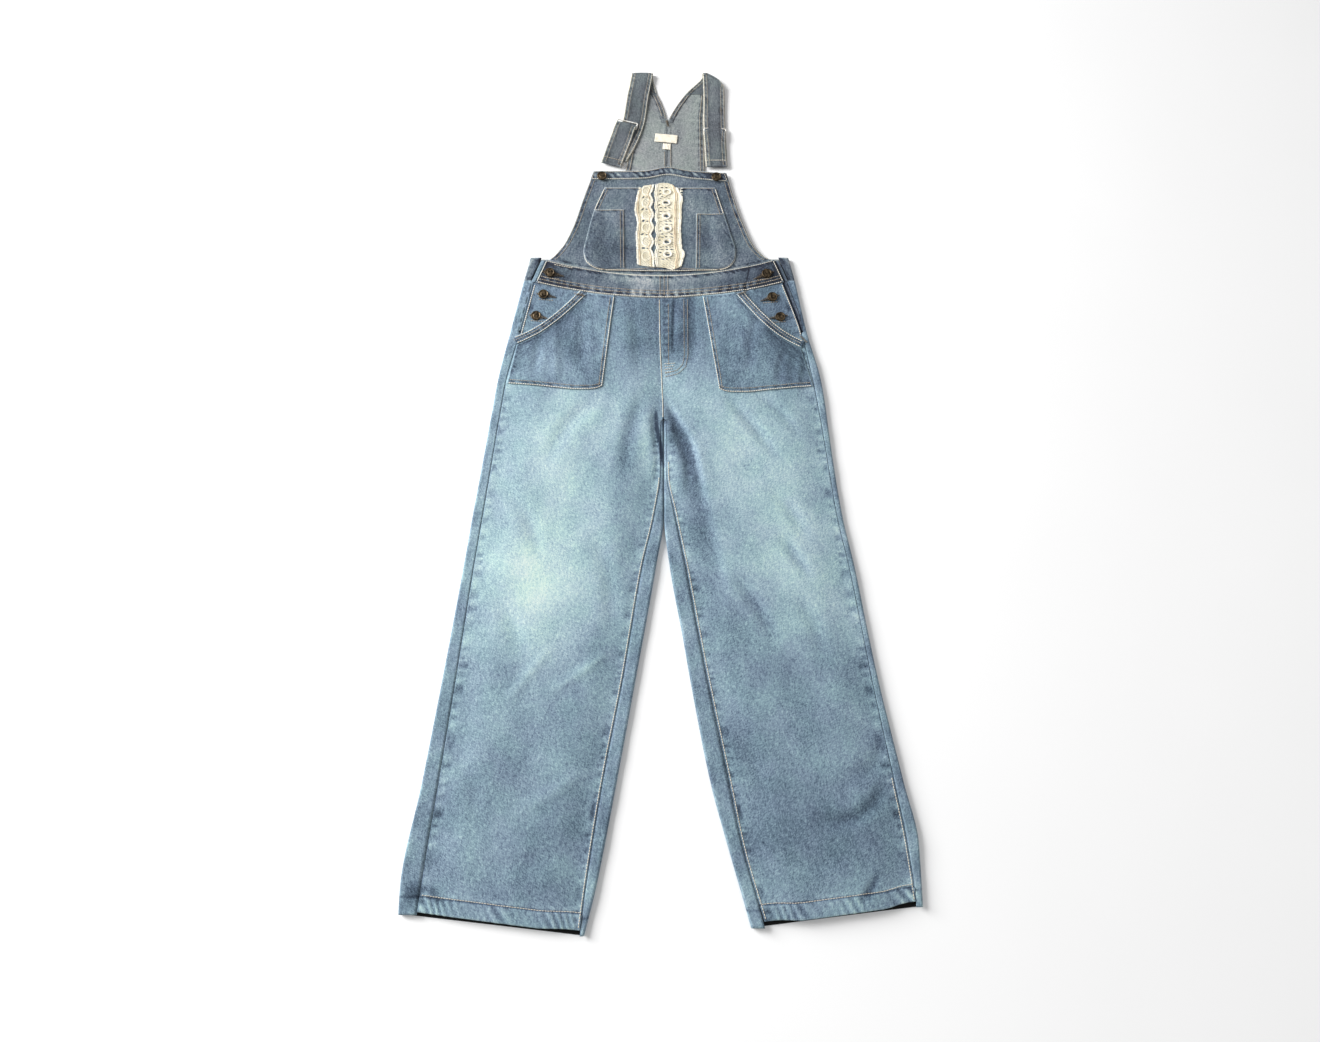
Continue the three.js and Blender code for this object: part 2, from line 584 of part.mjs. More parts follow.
// A closed outline from points, as a shape with round holes.
function lacePiece(name, outline, holes) {
  const shape = new THREE.Shape(outline.map(([x, y]) => new THREE.Vector2(x, y)));
  for (const hole of holes) {
    const path = new THREE.Path();
    path.absellipse(hole.x, hole.y, hole.rx, hole.ry, 0, 2 * Math.PI, true);
    shape.holes.push(path);
  }
  const geometry = new THREE.ExtrudeGeometry(shape, { depth: LACE, bevelEnabled: false, curveSegments: 4 });
  const position = geometry.attributes.position;
  for (let k = 0; k < position.count; k++) {
    const seat = bibPocketTop(position.getX(k), position.getY(k)) + SEAM;
    position.setZ(k, position.getZ(k) + seat);
  }
  addMesh(name, geometry, COLOURS.lace);
}

// One edge of a lace trim at x, from y0 to y1: a row of scallops that reach out sideways.
function scallops(x, reach, y0, y1, count) {
  const facets = 4;
  const pitch = (y1 - y0) / count;
  const points = steps(count * facets).map((t) => {
    const k = t * count;
    return [x + reach * Math.sin(Math.PI * (k % 1)), y0 + pitch * k];
  });
  points[points.length - 1][0] = x;
  return points;
}

// Two crochet trims sewn side by side down the middle of the bib pocket. Down the left one runs a row of
// small eyes, down the right one a row of wide eyes with a small one on each side between them.
function lace() {
  for (const trim of LACE_TRIMS) {
    const outer = scallops(trim.right, trim.reach, trim.foot, trim.top, trim.scallops);
    const inner = scallops(trim.left, -trim.reach, trim.foot, trim.top, trim.scallops).reverse();
    const holes = [];
    for (const eye of trim.eyes) {
      for (let y = eye.first; y < trim.top - trim.pitch / 4; y += trim.pitch) holes.push({ ...eye, y });
    }
    lacePiece(trim.name, [...outer, ...inner], holes);
  }
}

// Patch pocket on one hip and the band along its slanting mouth.
function hipPocket(side) {
  const p = HIP_POCKETS[side];
  const sign = side === 'left' ? -1 : 1;
  const seat = (x, y) => frontLoft(y) + SEAM;
  // Y of the mouth's lower edge at x: a curve that hangs a little below the straight line.
  const mouth = (t) => {
    return [lerp(p.mouthIn, p.mouthOut, t), lerp(p.mouthY, p.lowY, t) - p.sag * Math.sin(Math.PI * t)];
  };
  const outX = column(p.leg, 'outseam', p.foot) - sign * 3;
  const outRise = 12;
  const plan = (u, v) => {
    const inside = clamp(u / POCKET_MOUTH_START, 0, 1);
    const outside = Math.max(0, (u - POCKET_MOUTH_START) / (1 - POCKET_MOUTH_START));
    const topX = lerp(p.topIn, p.mouthIn, inside);
    const head = inside < 1 ? [topX, waistY(topX) - 2 * SEAM] : mouth(outside);
    const cut = u === 0 ? POCKET_CORNER : 0;
    const foot = [lerp(p.footIn, outX, u), p.foot + cut + outside * outRise];
    return [lerp(foot[0], head[0], v), lerp(foot[1], head[1], v)];
  };
  const top = (x, y) => seat(x, y) + PATCH;
  panel(`pocket_${side}`, COLOURS.patch, { rows: 6, cols: 10 }, plan, top, () => PATCH);
  const bandPlan = (u, v) => {
    const [x, y] = mouth(u);
    const [x2, y2] = mouth(u + 0.01);
    const along = new THREE.Vector2(x2 - x, y2 - y).normalize();
    const out = new THREE.Vector2(-along.y * sign, along.x * sign);
    const reach = SEAM + v * POCKET_BAND;
    const point = [x + out.x * reach, y + out.y * reach];
    point[1] = Math.min(point[1], waistY(point[0]) - 2 * SEAM);
    return point;
  };
  const wall = PATCH + POCKET_BAND_EXTRA;
  const bandTop = (x, y) => seat(x, y) + wall;
  panel(`pocket_band_${side}`, COLOURS.patch, { rows: 1, cols: 10 }, bandPlan, bandTop, () => wall);
}

// The strip behind a side opening. It shows beside the front's edge and steps down to run on beneath it.
function underlap(side) {
  const { table, sign } = LEG_SIDES[side];
  const corner = waistY(WAISTBAND_END.foot);
  const edge = (y) => {
    const t = clamp((y - corner) / WAISTBAND_DEPTH, 0, 1);
    return y > corner ? waistbandEnd(sign, t).x : column(table, 'outseam', y);
  };
  const plan = (u, v) => {
    const y = lerp(SPLIT_Y + UNDERLAP.foot, BACK_BAND_Y + BACK_BAND_DEPTH - UNDERLAP.clear, v);
    const show = underlapShow(table, Math.min(y, BACK_BAND_Y)) - SEAM;
    const offsets = [show, UNDERLAP.lip, -UNDERLAP.step, -UNDERLAP.under];
    return [edge(y) + sign * offsets[Math.round(u * 3)], y];
  };
  const height = (x, y) => {
    const out = sign * (x - edge(y));
    const below = frontLoft(y) - DENIM - UNDERLAP.drop;
    return lerp(below, LEG_LOFT - SEAM, clamp((out - UNDERLAP.lip) / 4, 0, 1));
  };
  panel(`underlap_${side}`, COLOURS.waist, { rows: 6, cols: 3 }, plan, height, () => UNDERLAP.wall);
}

// Back of the bib in two halves, joined down the middle and parted above by the V.
function backBib() {
  const rowsY = BACK_BIB_EDGE.map((row) => row.y);
  const middle = (sign, y) => {
    const t = Math.max(0, (y - NOTCH.y) / (NOTCH.topY - NOTCH.y));
    const base = lerp(0, NOTCH.x, clamp((y - rowsY[0]) / NOTCH.drift, 0, 1));
    return lerp(base, sign < 0 ? NOTCH.left : NOTCH.right, t) + (sign * SEAM) / 2;
  };
  for (const [name, sign] of [['left', -1], ['right', 1]]) {
    const plan = (u, v) => {
      const y = rowsY[Math.round(v * (rowsY.length - 1))] + (v === 0 ? SEAM : 0);
      return [lerp(middle(sign, y), column(BACK_BIB_EDGE, name, y), u), y];
    };
    panel(`back_bib_${name}`, COLOURS.inside, { rows: rowsY.length - 1, cols: 4 }, plan, () => DENIM, () => DENIM);
  }
}

// A ribbon between pairs of edge points; its wall is square to its path in the upright plane.
function ribbon(name, stations, wall, colour) {
  const middle = stations.map((s) => s.l.clone().add(s.r).multiplyScalar(0.5));
  const normals = middle.map((m, k) => {
    const before = middle[Math.max(k - 1, 0)];
    const after = middle[Math.min(k + 1, middle.length - 1)];
    const along = after.clone().sub(before).normalize();
    const across = stations[k].r.clone().sub(stations[k].l).setZ(0).normalize();
    return along.cross(across).normalize();
  });
  const face = (offset) => stations.map((s, k) => steps(2).map((t) => (
    s.l.clone().lerp(s.r, t).addScaledVector(normals[k], offset)
  )));
  return addMesh(name, shell(face(wall / 2), face(-wall / 2)), colour);
}

// A strap rises from the back bib, folds forward and comes down over itself to its lower end.
function strap(side) {
  const spec = STRAPS[side];
  const mid = WEB / 2;
  const point = (x, y, z) => new THREE.Vector3(x, y, z);
  const back = spec.back.map((s) => ({ l: point(s.lx, s.ly, mid), r: point(s.rx, s.ry, mid) }));
  const edge = spec.back[1];
  const turn = steps(6).slice(1, -1).map((t) => {
    const [dy, z] = [STRAP_FOLD * Math.sin(Math.PI * t), mid + STRAP_FOLD * (1 - Math.cos(Math.PI * t))];
    return { l: point(edge.lx, edge.ly + dy, z), r: point(edge.rx, edge.ry + dy, z) };
  });
  const front = spec.front.map((s) => ({ l: point(s.lx, s.ly, s.z + mid), r: point(s.rx, s.ry, s.z + mid) }));
  const over = { l: point(edge.lx, edge.ly, mid + 2 * STRAP_FOLD), r: point(edge.rx, edge.ry, mid + 2 * STRAP_FOLD) };
  ribbon(`strap_${side}`, [...back, ...turn, over, ...front], WEB, COLOURS.strap);
  const seat = spec.front[2].z + WEB + STRAP_SLACK;
  const end = spec.end.map((s) => {
    const z = seat + s.rise + mid;
    return { l: point(s.lx, s.ly, z), r: point(s.rx, s.ry, z) };
  });
  ribbon(`strap_end_${side}`, end, WEB, COLOURS.strap);
  slider(side, spec.slider, seat);
}

// A slider: a flat frame with a bar across, lying on the strap below the end piece.
function slider(side, place, seat) {
  const { width, depth, bar, thick, corner } = SLIDER;
  const [w, d] = [width / 2, depth / 2];
  const frame = new THREE.Shape();
  frame.moveTo(-w + corner, -d);
  frame.lineTo(w - corner, -d);
  frame.quadraticCurveTo(w, -d, w, -d + corner);
  frame.lineTo(w, d - corner);
  frame.quadraticCurveTo(w, d, w - corner, d);
  frame.lineTo(-w + corner, d);
  frame.quadraticCurveTo(-w, d, -w, d - corner);
  frame.lineTo(-w, -d + corner);
  frame.quadraticCurveTo(-w, -d, -w + corner, -d);
  for (const sign of [-1, 1]) {
    const [y0, y1] = [sign * bar * 0.5, sign * (d - bar)].sort((a, b) => a - b);
    const slot = new THREE.Path();
    slot.moveTo(-w + bar, y0);
    slot.lineTo(-w + bar, y1);
    slot.lineTo(w - bar, y1);
    slot.lineTo(w - bar, y0);
    slot.closePath();
    frame.holes.push(slot);
  }
  const geometry = new THREE.ExtrudeGeometry(frame, { depth: thick, bevelEnabled: false, curveSegments: 3 });
  const mesh = addMesh(`slider_${side}`, geometry, COLOURS.steel, 0.9, 0.35);
  mesh.rotation.z = degToRad(place.turn);
  mesh.position.set(place.x, place.y, seat);
}

// A metal button: a low disc with a rim round a shallow dish.
function button({ name, x, y, on }) {
  const { radius, rim, height, dish, sides } = BUTTON;
  const profile = [
    [0, 0], [radius - 1, 0], [radius, 1], [radius, height - 0.6], [radius - 0.6, height],
    [rim - 0.4, height - dish], [0, height - dish * 0.4],
  ].map(([r, z]) => new THREE.Vector2(r, z));
  const geometry = new THREE.LatheGeometry(profile, sides);
  const lifts = { bib: SEAM + BIB_BAND.wall, waistband: WAISTBAND_EXTRA, leg: 0 };
  const mesh = addMesh(name, geometry, COLOURS.bronze, 0.85, 0.5);
  mesh.rotation.x = Math.PI / 2;
  const highest = frontLoft(y - radius) + lifts[on];
  mesh.position.set(x, y, highest + SEAM);
}

// A blank plate of label tape sewn inside the back.
function label({ name, width, height, x, y, turn }) {
  const mesh = addMesh(name, new THREE.BoxGeometry(width, height, PAPER), COLOURS.label);
  mesh.rotation.z = degToRad(turn);
  mesh.position.set(x, y, DENIM + SEAM + PAPER / 2);
}

for (const side of ['left', 'right']) {
  frontLeg(side);
  backLeg(side);
  underlap(side);
  hipPocket(side);
  strap(side);
}
backWaistband();
frontWaistband();
bib();
bibPockets();
lace();
backBib();
BUTTONS.forEach(button);
LABELS.forEach(label);

// The origin is the middle of the garment's outline on the surface it lies on.
garment.position.set(-MIDDLE.x, -MIDDLE.y, 0);
const laid = new THREE.Group();
laid.add(garment);

export default laid;
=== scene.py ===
"""Denim dungarees laid flat on a pale floor, front side up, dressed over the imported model.

Sizes in the tables are real millimetres in the garment's own plan: X to the right as seen from above, Y
from the hems to the straps, Z up from the floor. Cloth.place() moves them to the model's frame, in metres.
"""

import logging
import math
from dataclasses import dataclass
from enum import Enum

import bpy
import numpy as np
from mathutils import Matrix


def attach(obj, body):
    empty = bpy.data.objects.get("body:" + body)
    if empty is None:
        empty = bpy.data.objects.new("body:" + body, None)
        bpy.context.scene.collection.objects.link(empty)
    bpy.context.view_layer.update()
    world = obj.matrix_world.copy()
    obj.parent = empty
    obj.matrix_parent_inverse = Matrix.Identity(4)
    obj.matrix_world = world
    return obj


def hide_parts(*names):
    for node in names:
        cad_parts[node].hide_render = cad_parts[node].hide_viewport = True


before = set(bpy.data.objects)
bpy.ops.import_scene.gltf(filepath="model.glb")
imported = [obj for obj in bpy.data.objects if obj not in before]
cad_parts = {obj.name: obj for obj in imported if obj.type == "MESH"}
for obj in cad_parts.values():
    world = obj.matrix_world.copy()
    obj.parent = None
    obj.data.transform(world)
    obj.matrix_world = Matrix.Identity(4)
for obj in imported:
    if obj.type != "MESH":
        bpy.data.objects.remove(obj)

Array = np.ndarray
Socket = bpy.types.NodeSocket
Material = bpy.types.Material
Object = bpy.types.Object
MM = 0.001
MIDDLE = (1.4, 721.2)  # the model's origin in the garment's plan
LOG = logging.getLogger("dungarees")
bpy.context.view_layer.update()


class Facing(Enum):
    """Which way the first side of a grid looks."""

    UP = 1
    DOWN = -1


class Side(Enum):
    """Left or right as seen, with its sign in X."""

    LEFT = -1
    RIGHT = 1

    @property
    def word(self) -> str:
        """The side's name in the nodes."""
        return self.name.lower()


def smooth(edge0: float, edge1: float, value: Array) -> Array:
    """Soft step from 0 at edge0 to 1 at edge1: 3t^2 - 2t^3.

    Args:
        edge0: value at which the step starts.
        edge1: value at which it ends.
        value: where to read it.

    Returns:
        The step, from 0 to 1.
    """
    t = np.clip((value - edge0) / (edge1 - edge0), 0.0, 1.0)
    return t * t * (3.0 - 2.0 * t)


def bell(value: Array, width: float) -> Array:
    """Bell curve exp(-(value / width)^2)."""
    return np.exp(-((value / width) ** 2))


def blend(a: Array, b: Array, t: Array) -> Array:
    """Straight blend from a to b."""
    return a + (b - a) * t


def unit_grid(cols: int, rows: int) -> tuple[Array, Array]:
    """Even steps from 0 to 1: u across, as a row, and v along, as a column."""
    return np.linspace(0.0, 1.0, cols)[None, :], np.linspace(0.0, 1.0, rows)[:, None]


def ripple(x: Array, y: Array) -> Array:
    """Slow uneven waves of about unit height: a sum of four sines whose lengths share no factor.

    Args:
        x: plan, in millimetres.
        y: plan, in millimetres.

    Returns:
        The waves' height.
    """
    return (
        np.sin(x / 31.0 + y / 57.0)
        + 0.8 * np.sin(x / 19.0 - y / 43.0 + 1.3)
        + 0.6 * np.sin(x / 47.0 + y / 23.0 + 2.1)
        + 0.4 * np.sin(x / 11.0 + y / 71.0 + 0.4)
    ) / 1.9


class Profile:
    """A smooth curve through rows of (y, value) that never swings past them.

    The slope at a row is the harmonic mean of the slopes beside it, or nothing where they differ in sign,
    and between two rows runs the cubic that has their values and slopes.
    """

    def __init__(self, rows: list[tuple[float, float]]) -> None:
        """Takes the rows in rising order of y.

        Args:
            rows: pairs of (y, value).
        """
        self.y, self.v = (np.array(c, float) for c in zip(*rows))
        step = np.diff(self.v) / np.diff(self.y)
        before, after = step[:-1], step[1:]
        both = before * after > 0
        mean = 2 * before * after / np.where(both, before + after, 1.0)
        self.slope = np.concatenate([[step[0]], np.where(both, mean, 0.0), [step[-1]]])

    def __call__(self, y: Array) -> Array:
        """The curve's value at each y.

        Args:
            y: where to read the curve.

        Returns:
            The values.
        """
        y = np.asarray(y, float)
        k = np.clip(np.searchsorted(self.y, y, side="right") - 1, 0, len(self.y) - 2)
        span = self.y[k + 1] - self.y[k]
        t = (y - self.y[k]) / span
        c = np.clip(t, 0.0, 1.0)
        cubic = (
            (2 * c**3 - 3 * c**2 + 1) * self.v[k]
            + (c**3 - 2 * c**2 + c) * span * self.slope[k]
            + (3 * c**2 - 2 * c**3) * self.v[k + 1]
            + (c**3 - c**2) * span * self.slope[k + 1]
        )
        before = np.minimum(t, 0.0) * span * self.slope[k]
        after = np.maximum(t - 1.0, 0.0) * span * self.slope[k + 1]
        return cubic + before + after


@dataclass(frozen=True)
class LegTable:
    """Outline of one leg: rows of (y, outer, outseam, inseam, inner), in millimetres."""

    foot: float
    rows: tuple[tuple[float, float, float, float, float], ...]

    def column(self, number: int) -> Profile:
        """The curve of one column: 1 outer, 2 outseam, 3 inseam, 4 inner."""
        return Profile([(row[0], row[number]) for row in self.rows])


LEG_TABLES = {
    Side.LEFT: LegTable(
        1.0,
        (
            (0, -363, -339, -111, -105),
            (60, -364, -334, -104, -90),
            (200, -344, -319, -83, -63),
            (350, -324, -303, -55, -36),
            (520, -303, -286, -27, -6),
            (600, -294, -277, -9, 5.8),
            (672, -285, -269, 1.2, 5.8),
            (756, -275, -260, 1.2, 5.8),
            (764, -274, -259, 5.8, 5.8),
            (772, -273, -258, 5.8, 5.8),
            (830, -266, -251, 3.8, 3.8),
            (915, -250, -232, 0.8, 0.8),
            (1012, -231, -212, -0.2, -0.2),
        ),
    ),
    Side.RIGHT: LegTable(
        11.0,
        (
            (0, 362, 356, 148, 129),
            (40, 366, 356, 138, 118),
            (120, 367, 350, 116, 95),
            (202, 352, 338, 100, 73),
            (348, 325, 315, 71, 45),
            (407, 316, 307, 60, 35),
            (520, 300, 291, 40, 15),
            (600, 286, 277, 24, 6.2),
            (672, 278, 269, 10.8, 6.2),
            (756, 271, 260, 10.8, 6.2),
            (764, 270.5, 259, 6.2, 6.2),
            (772, 270, 258, 6.2, 6.2),
            (830, 264, 250, 4.2, 4.2),
            (915, 245, 235, 1.2, 1.2),
            (1012, 229, 206, 0.2, 0.2),
        ),
    ),
}


@dataclass(frozen=True)
class Cut:
    """Driving sizes of the garment, in millimetres."""

    denim: float = 1.1
    leg_loft: float = 7.6
    bib_loft: float = 5.4
    crown: float = 3.2
    hip_y: float = 979.0
    waist_half: float = 212.0
    waist_sag: float = 30.0
    waistband_depth: float = 43.0
    back_band_y: float = 1012.0
    back_band_depth: float = 44.0
    crotch_y: float = 756.0
    crotch_roll: float = 9.0
    split_y: float = 915.0
    hem_rise: float = 27.0
    hem_fade: float = 240.0
    hem_depth: float = 23.0
    hem_short: float = 4.0
    bib_top_y: float = 1227.0
    bib_band: float = 18.0
    pocket_band: float = 14.0
    side_pocket_top: float = 1147.0
    seam: float = 0.3

    def loft(self, y: Array) -> Array:
        """Height of the front before its folds: level over the legs, then falling along the bib."""
        fall = np.maximum(0.0, (y - self.hip_y) / (self.bib_top_y - self.hip_y))
        return self.leg_loft - (self.leg_loft - self.bib_loft) * fall

    def waist_y(self, x: Array) -> Array:
        """Y of the front waistband's lower edge: a shallow arc whose ends lie higher."""
        return self.hip_y + self.waist_sag * (x / self.waist_half) ** 2

    def bib_foot(self, x: Array) -> Array:
        """Y where the bib starts, at the front waistband's upper edge."""
        return self.waist_y(x * (210.0 / 194.0)) + self.waistband_depth + self.seam

    def bib_top(self, x: Array) -> Array:
        """Y of the bib's upper edge: level, with a low rise at the middle and a fall to the right."""
        return self.bib_top_y + 2.0 + 9.0 * bell(x - 14.0, 28.0) - 4.0 * smooth(60.0, 110.0, x)


CUT = Cut()
LEG_LINES = ("outer", "outseam", "inseam", "inner")
LEG = {
    side: {name: table.column(number) for number, name in enumerate(LEG_LINES, start=1)}
    for side, table in LEG_TABLES.items()
}


@dataclass(frozen=True)
class Crease:
    """A soft fold along a line of points. A negative depth is a trough, with a low ridge on either side.

    A positive lean makes the side to the right of the line's run that much wider, and the other narrower.
    """

    points: tuple[tuple[float, float], ...]
    width: float
    depth: float
    lip: float = 0.35
    lean: float = 0.0

    def height(self, x: Array, y: Array) -> Array:
        """What the fold adds: depth * (exp(-t^2) - lip * exp(-(t / 2.1)^2)), t the distance over the width.

        The depth fades in and out along the line as a sine, so both ends run out softly.

        Args:
            x: plan, in millimetres.
            y: plan, in millimetres.

        Returns:
            The fold's height.
        """
        far = np.full(np.shape(x), 1e9)
        along = np.zeros(np.shape(x))
        lengths = [math.dist(a, b) for a, b in zip(self.points, self.points[1:])]
        total, gone = sum(lengths), 0.0
        for (x0, y0), (x1, y1), length in zip(self.points, self.points[1:], lengths):
            t = np.clip(((x - x0) * (x1 - x0) + (y - y0) * (y1 - y0)) / length**2, 0.0, 1.0)
            away = np.hypot(x - x0 - t * (x1 - x0), y - y0 - t * (y1 - y0))
            side = np.sign((x - x0) * (y1 - y0) - (y - y0) * (x1 - x0))
            away = away / (1.0 + self.lean * side)
            near = away < far
            far = np.where(near, away, far)
            along = np.where(near, (gone + t * length) / total, along)
            gone += length
        strength = 0.25 + 0.75 * np.sin(np.pi * np.clip(along, 0.0, 1.0)) ** 0.7
        t = far / self.width
        return self.depth * strength * (np.exp(-(t**2)) - self.lip * np.exp(-((t / 2.1) ** 2)))


CREASES = (
    Crease(((8, 792), (34, 746), (50, 713), (60, 668), (66, 625)), 13, -5.6, 0.25, 0.55),
    Crease(((62, 660), (70, 600), (84, 530), (96, 480)), 17, -2.8, 0.25, 0.4),
    Crease(((22, 760), (44, 690), (46, 640)), 7, -3.0),
    Crease(((110, 796), (148, 752), (182, 703)), 9, -3.6),
    Crease(((150, 812), (196, 770), (222, 734)), 9, -2.4),
    Crease(((176, 640), (204, 610), (228, 566)), 11, -2.4),
    Crease(((190, 562), (208, 536), (226, 508)), 9, -3.0),
    Crease(((121, 496), (150, 452), (171, 410)), 10, -3.0),
    Crease(((210, 470), (232, 430), (244, 384)), 12, -2.0),
    Crease(((322, 200), (308, 176), (284, 158), (256, 150), (226, 152)), 10, -3.0),
    Crease(((302, 76), (292, 60), (281, 46)), 6, -2.6),
    Crease(((338, 262), (306, 222), (262, 204)), 14, -2.0),
    Crease(((112, 300), (134, 246), (150, 180)), 16, -1.8),
    Crease(((170, 108), (210, 92), (244, 96)), 13, -1.6),
    Crease(((-8, 772), (-6, 742), (2, 700), (-4, 650)), 7, -5.0),
    Crease(((-30, 800), (-48, 742), (-58, 676)), 12, -2.6),
    Crease(((-222, 320), (-196, 356), (-166, 392)), 8, 1.3),
    Crease(((-160, 333), (-122, 356), (-80, 388)), 8, 1.4),
    Crease(((-197, 166), (-158, 188), (-108, 218)), 10, 1.1),
    Crease(((-240, 640), (-206, 596), (-186, 540)), 12, -2.2),
    Crease(((-96, 560), (-78, 500), (-72, 430)), 13, -2.2),
    Crease(((-250, 470), (-222, 430), (-206, 380)), 14, -2.0),
    Crease(((-300, 250), (-268, 200), (-262, 140)), 15, -1.8),
    Crease(((-150, 110), (-190, 90), (-240, 96)), 15, -1.4),
    Crease(((-110, 790), (-150, 750), (-180, 690)), 13, -2.0),
    Crease(((-196, 920), (-202, 880), (-206, 836)), 9, -2.2),
    Crease(((-176, 915), (-172, 870), (-170, 824)), 9, 1.8),
    Crease(((-132, 950), (-128, 900), (-134, 850)), 10, -1.8),
    Crease(((164, 950), (150, 900), (146, 840)), 9, -1.8),
    Crease(((205, 880), (196, 850), (194, 815)), 8, -2.0),
    Crease(((232, 870), (226, 840), (222, 812)), 7, 1.8),
    Crease(((24, 972), (23, 925), (22, 880)), 4.5, -2.2),
    Crease(((52, 970), (56, 920), (54, 860)), 8, -1.8),
    Crease(((-46, 970), (-40, 910), (-34, 850)), 10, -1.8),
    Crease(((148, 1006), (146, 990), (147, 978)), 4, -2.2),
    Crease(((-150, 1130), (-120, 1096), (-142, 1070)), 10, -1.2),
    Crease(((126, 1150), (140, 1110), (138, 1076)), 10, -1.2),
    Crease(((-104, 1180), (-90, 1120), (-98, 1066)), 9, -1.1),
    Crease(((88, 1170), (84, 1110), (92, 1060)), 9, -1.1),
)


def folds(x: Array, y: Array) -> Array:
    """Sum of all creases at each point, with slow waves over the whole."""
    return sum((crease.height(x, y) for crease in CREASES), 0.45 * ripple(x, y))


def front_height(x: Array, y: Array) -> Array:
    """Height of the front's face: loft, a low crown over each leg, and the folds, level at the seams.

    Args:
        x: plan, in millimetres.
        y: plan, in millimetres.

    Returns:
        Height above the floor, in millimetres.
    """
    room = np.full(np.shape(x), 1e3)
    for side in Side:
        for name in ("outseam", "inseam"):
            line = LEG[side][name](np.minimum(y, 1012.0))
            room = np.minimum(room, np.abs(x - line))
    below = smooth(1010.0, 930.0, y)
    near_seam = smooth(0.0, 16.0, room)
    edge = np.where(y < CUT.crotch_y, near_seam, near_seam * below + (1.0 - below))
    crown = CUT.crown * smooth(0.0, 60.0, room) * below
    height = CUT.loft(y) + crown + edge * folds(x, y)
    return np.maximum(height, 3.4)


# Painted shade along fold troughs, the crotch wedge and the slit between the legs (negative depths), pale
# lines along rubbed ridges (positive), and darker patches by the left hem.
SHADES = (
    Crease(((-7, 778), (-5, 745), (1, 715), (4, 682)), 2.8, -0.8, 0.0),
    Crease(((6, 786), (34, 742), (50, 700), (58, 650)), 14, -0.28, 0.0, 0.6),
    Crease(((54, 680), (64, 610), (80, 530), (92, 470)), 19, -0.13, 0.0, 0.4),
    Crease(((34, 972), (36, 925), (32, 870)), 14, -0.1, 0.0),
    Crease(((-222, 320), (-196, 356), (-166, 392)), 5, 0.09, 0.0),
    Crease(((-160, 333), (-122, 356), (-80, 388)), 5, 0.1, 0.0),
    Crease(((-197, 166), (-158, 188), (-108, 218)), 7, 0.05, 0.0),
    Crease(((322, 200), (306, 178), (284, 160), (250, 150)), 9, -0.12, 0.0),
    Crease(((306, 84), (298, 66), (281, 48)), 4, -0.26, 0.0),
    Crease(((300, 60), (284, 46)), 5, -0.2, 0.0),
    Crease(((194, 556), (208, 536), (224, 512)), 9, -0.12, 0.0),
    Crease(((121, 496), (150, 452), (171, 410)), 9, -0.1, 0.0),
    Crease(((-44, 790), (-52, 730), (-60, 660), (-66, 600)), 15, -0.16, 0.0),
    Crease(((-24, 770), (-26, 720), (-22, 670)), 8, 0.12, 0.0),
    Crease(((-359, 56), (-340, 55), (-326, 54)), 14, -0.36, 0.0),
    Crease(((-322, 62), (-312, 52), (-300, 44)), 7, -0.3, 0.0),
)


def shades(x: Array, y: Array) -> Array:
    """Painted shade in hollows and creases, rubbed ridges, and darker patches by the left hem, added to the
    tone.
    """
    return sum((shade.height(x, y) for shade in SHADES), np.zeros(np.shape(x)))


@dataclass(frozen=True)
class Fade:
    """A soft oval of fading: its middle, its lean in X for each step in Y, its half sizes and its power."""

    x: float
    y: float
    lean: float
    wide: float
    tall: float
    power: float

    def strength(self, x: Array, y: Array) -> Array:
        """power * exp(-a^2 - b^2), with a and b the distances across and along over the half sizes."""
        across = (x - self.x - self.lean * (y - self.y)) / self.wide
        return self.power * np.exp(-(across**2) - ((y - self.y) / self.tall) ** 2)


FADES = (
    Fade(-170, 620, 0.16, 120, 205, 0.56),
    Fade(-140, 765, 0.1, 96, 66, 0.14),
    Fade(-190, 470, 0.1, 96, 96, 0.5),
    Fade(178, 640, -0.34, 90, 180, 0.46),
    Fade(136, 758, -0.2, 86, 70, 0.2),
    Fade(220, 490, -0.3, 66, 80, 0.28),
)


def wash(x: Array, y: Array) -> Array:
    """How far the thighs are faded, up to 1.1: the sum of all fades."""
    return np.clip(sum((fade.strength(x, y) for fade in FADES), np.zeros(np.shape(x))), 0.0, 1.1)


@dataclass(frozen=True)
class Rgb:
    """A colour as it looks on a screen, from 0 to 255."""

    r: int
    g: int
    b: int

    def linear(self) -> tuple[float, float, float, float]:
        """The colour in linear light, with alpha.

        Returns:
            Red, green, blue and alpha.
        """
        def one(c: int) -> float:
            """One channel from screen values to linear light."""
            v = c / 255.0
            return v / 12.92 if v <= 0.04045 else ((v + 0.055) / 1.055) ** 2.4
        return (one(self.r), one(self.g), one(self.b), 1.0)


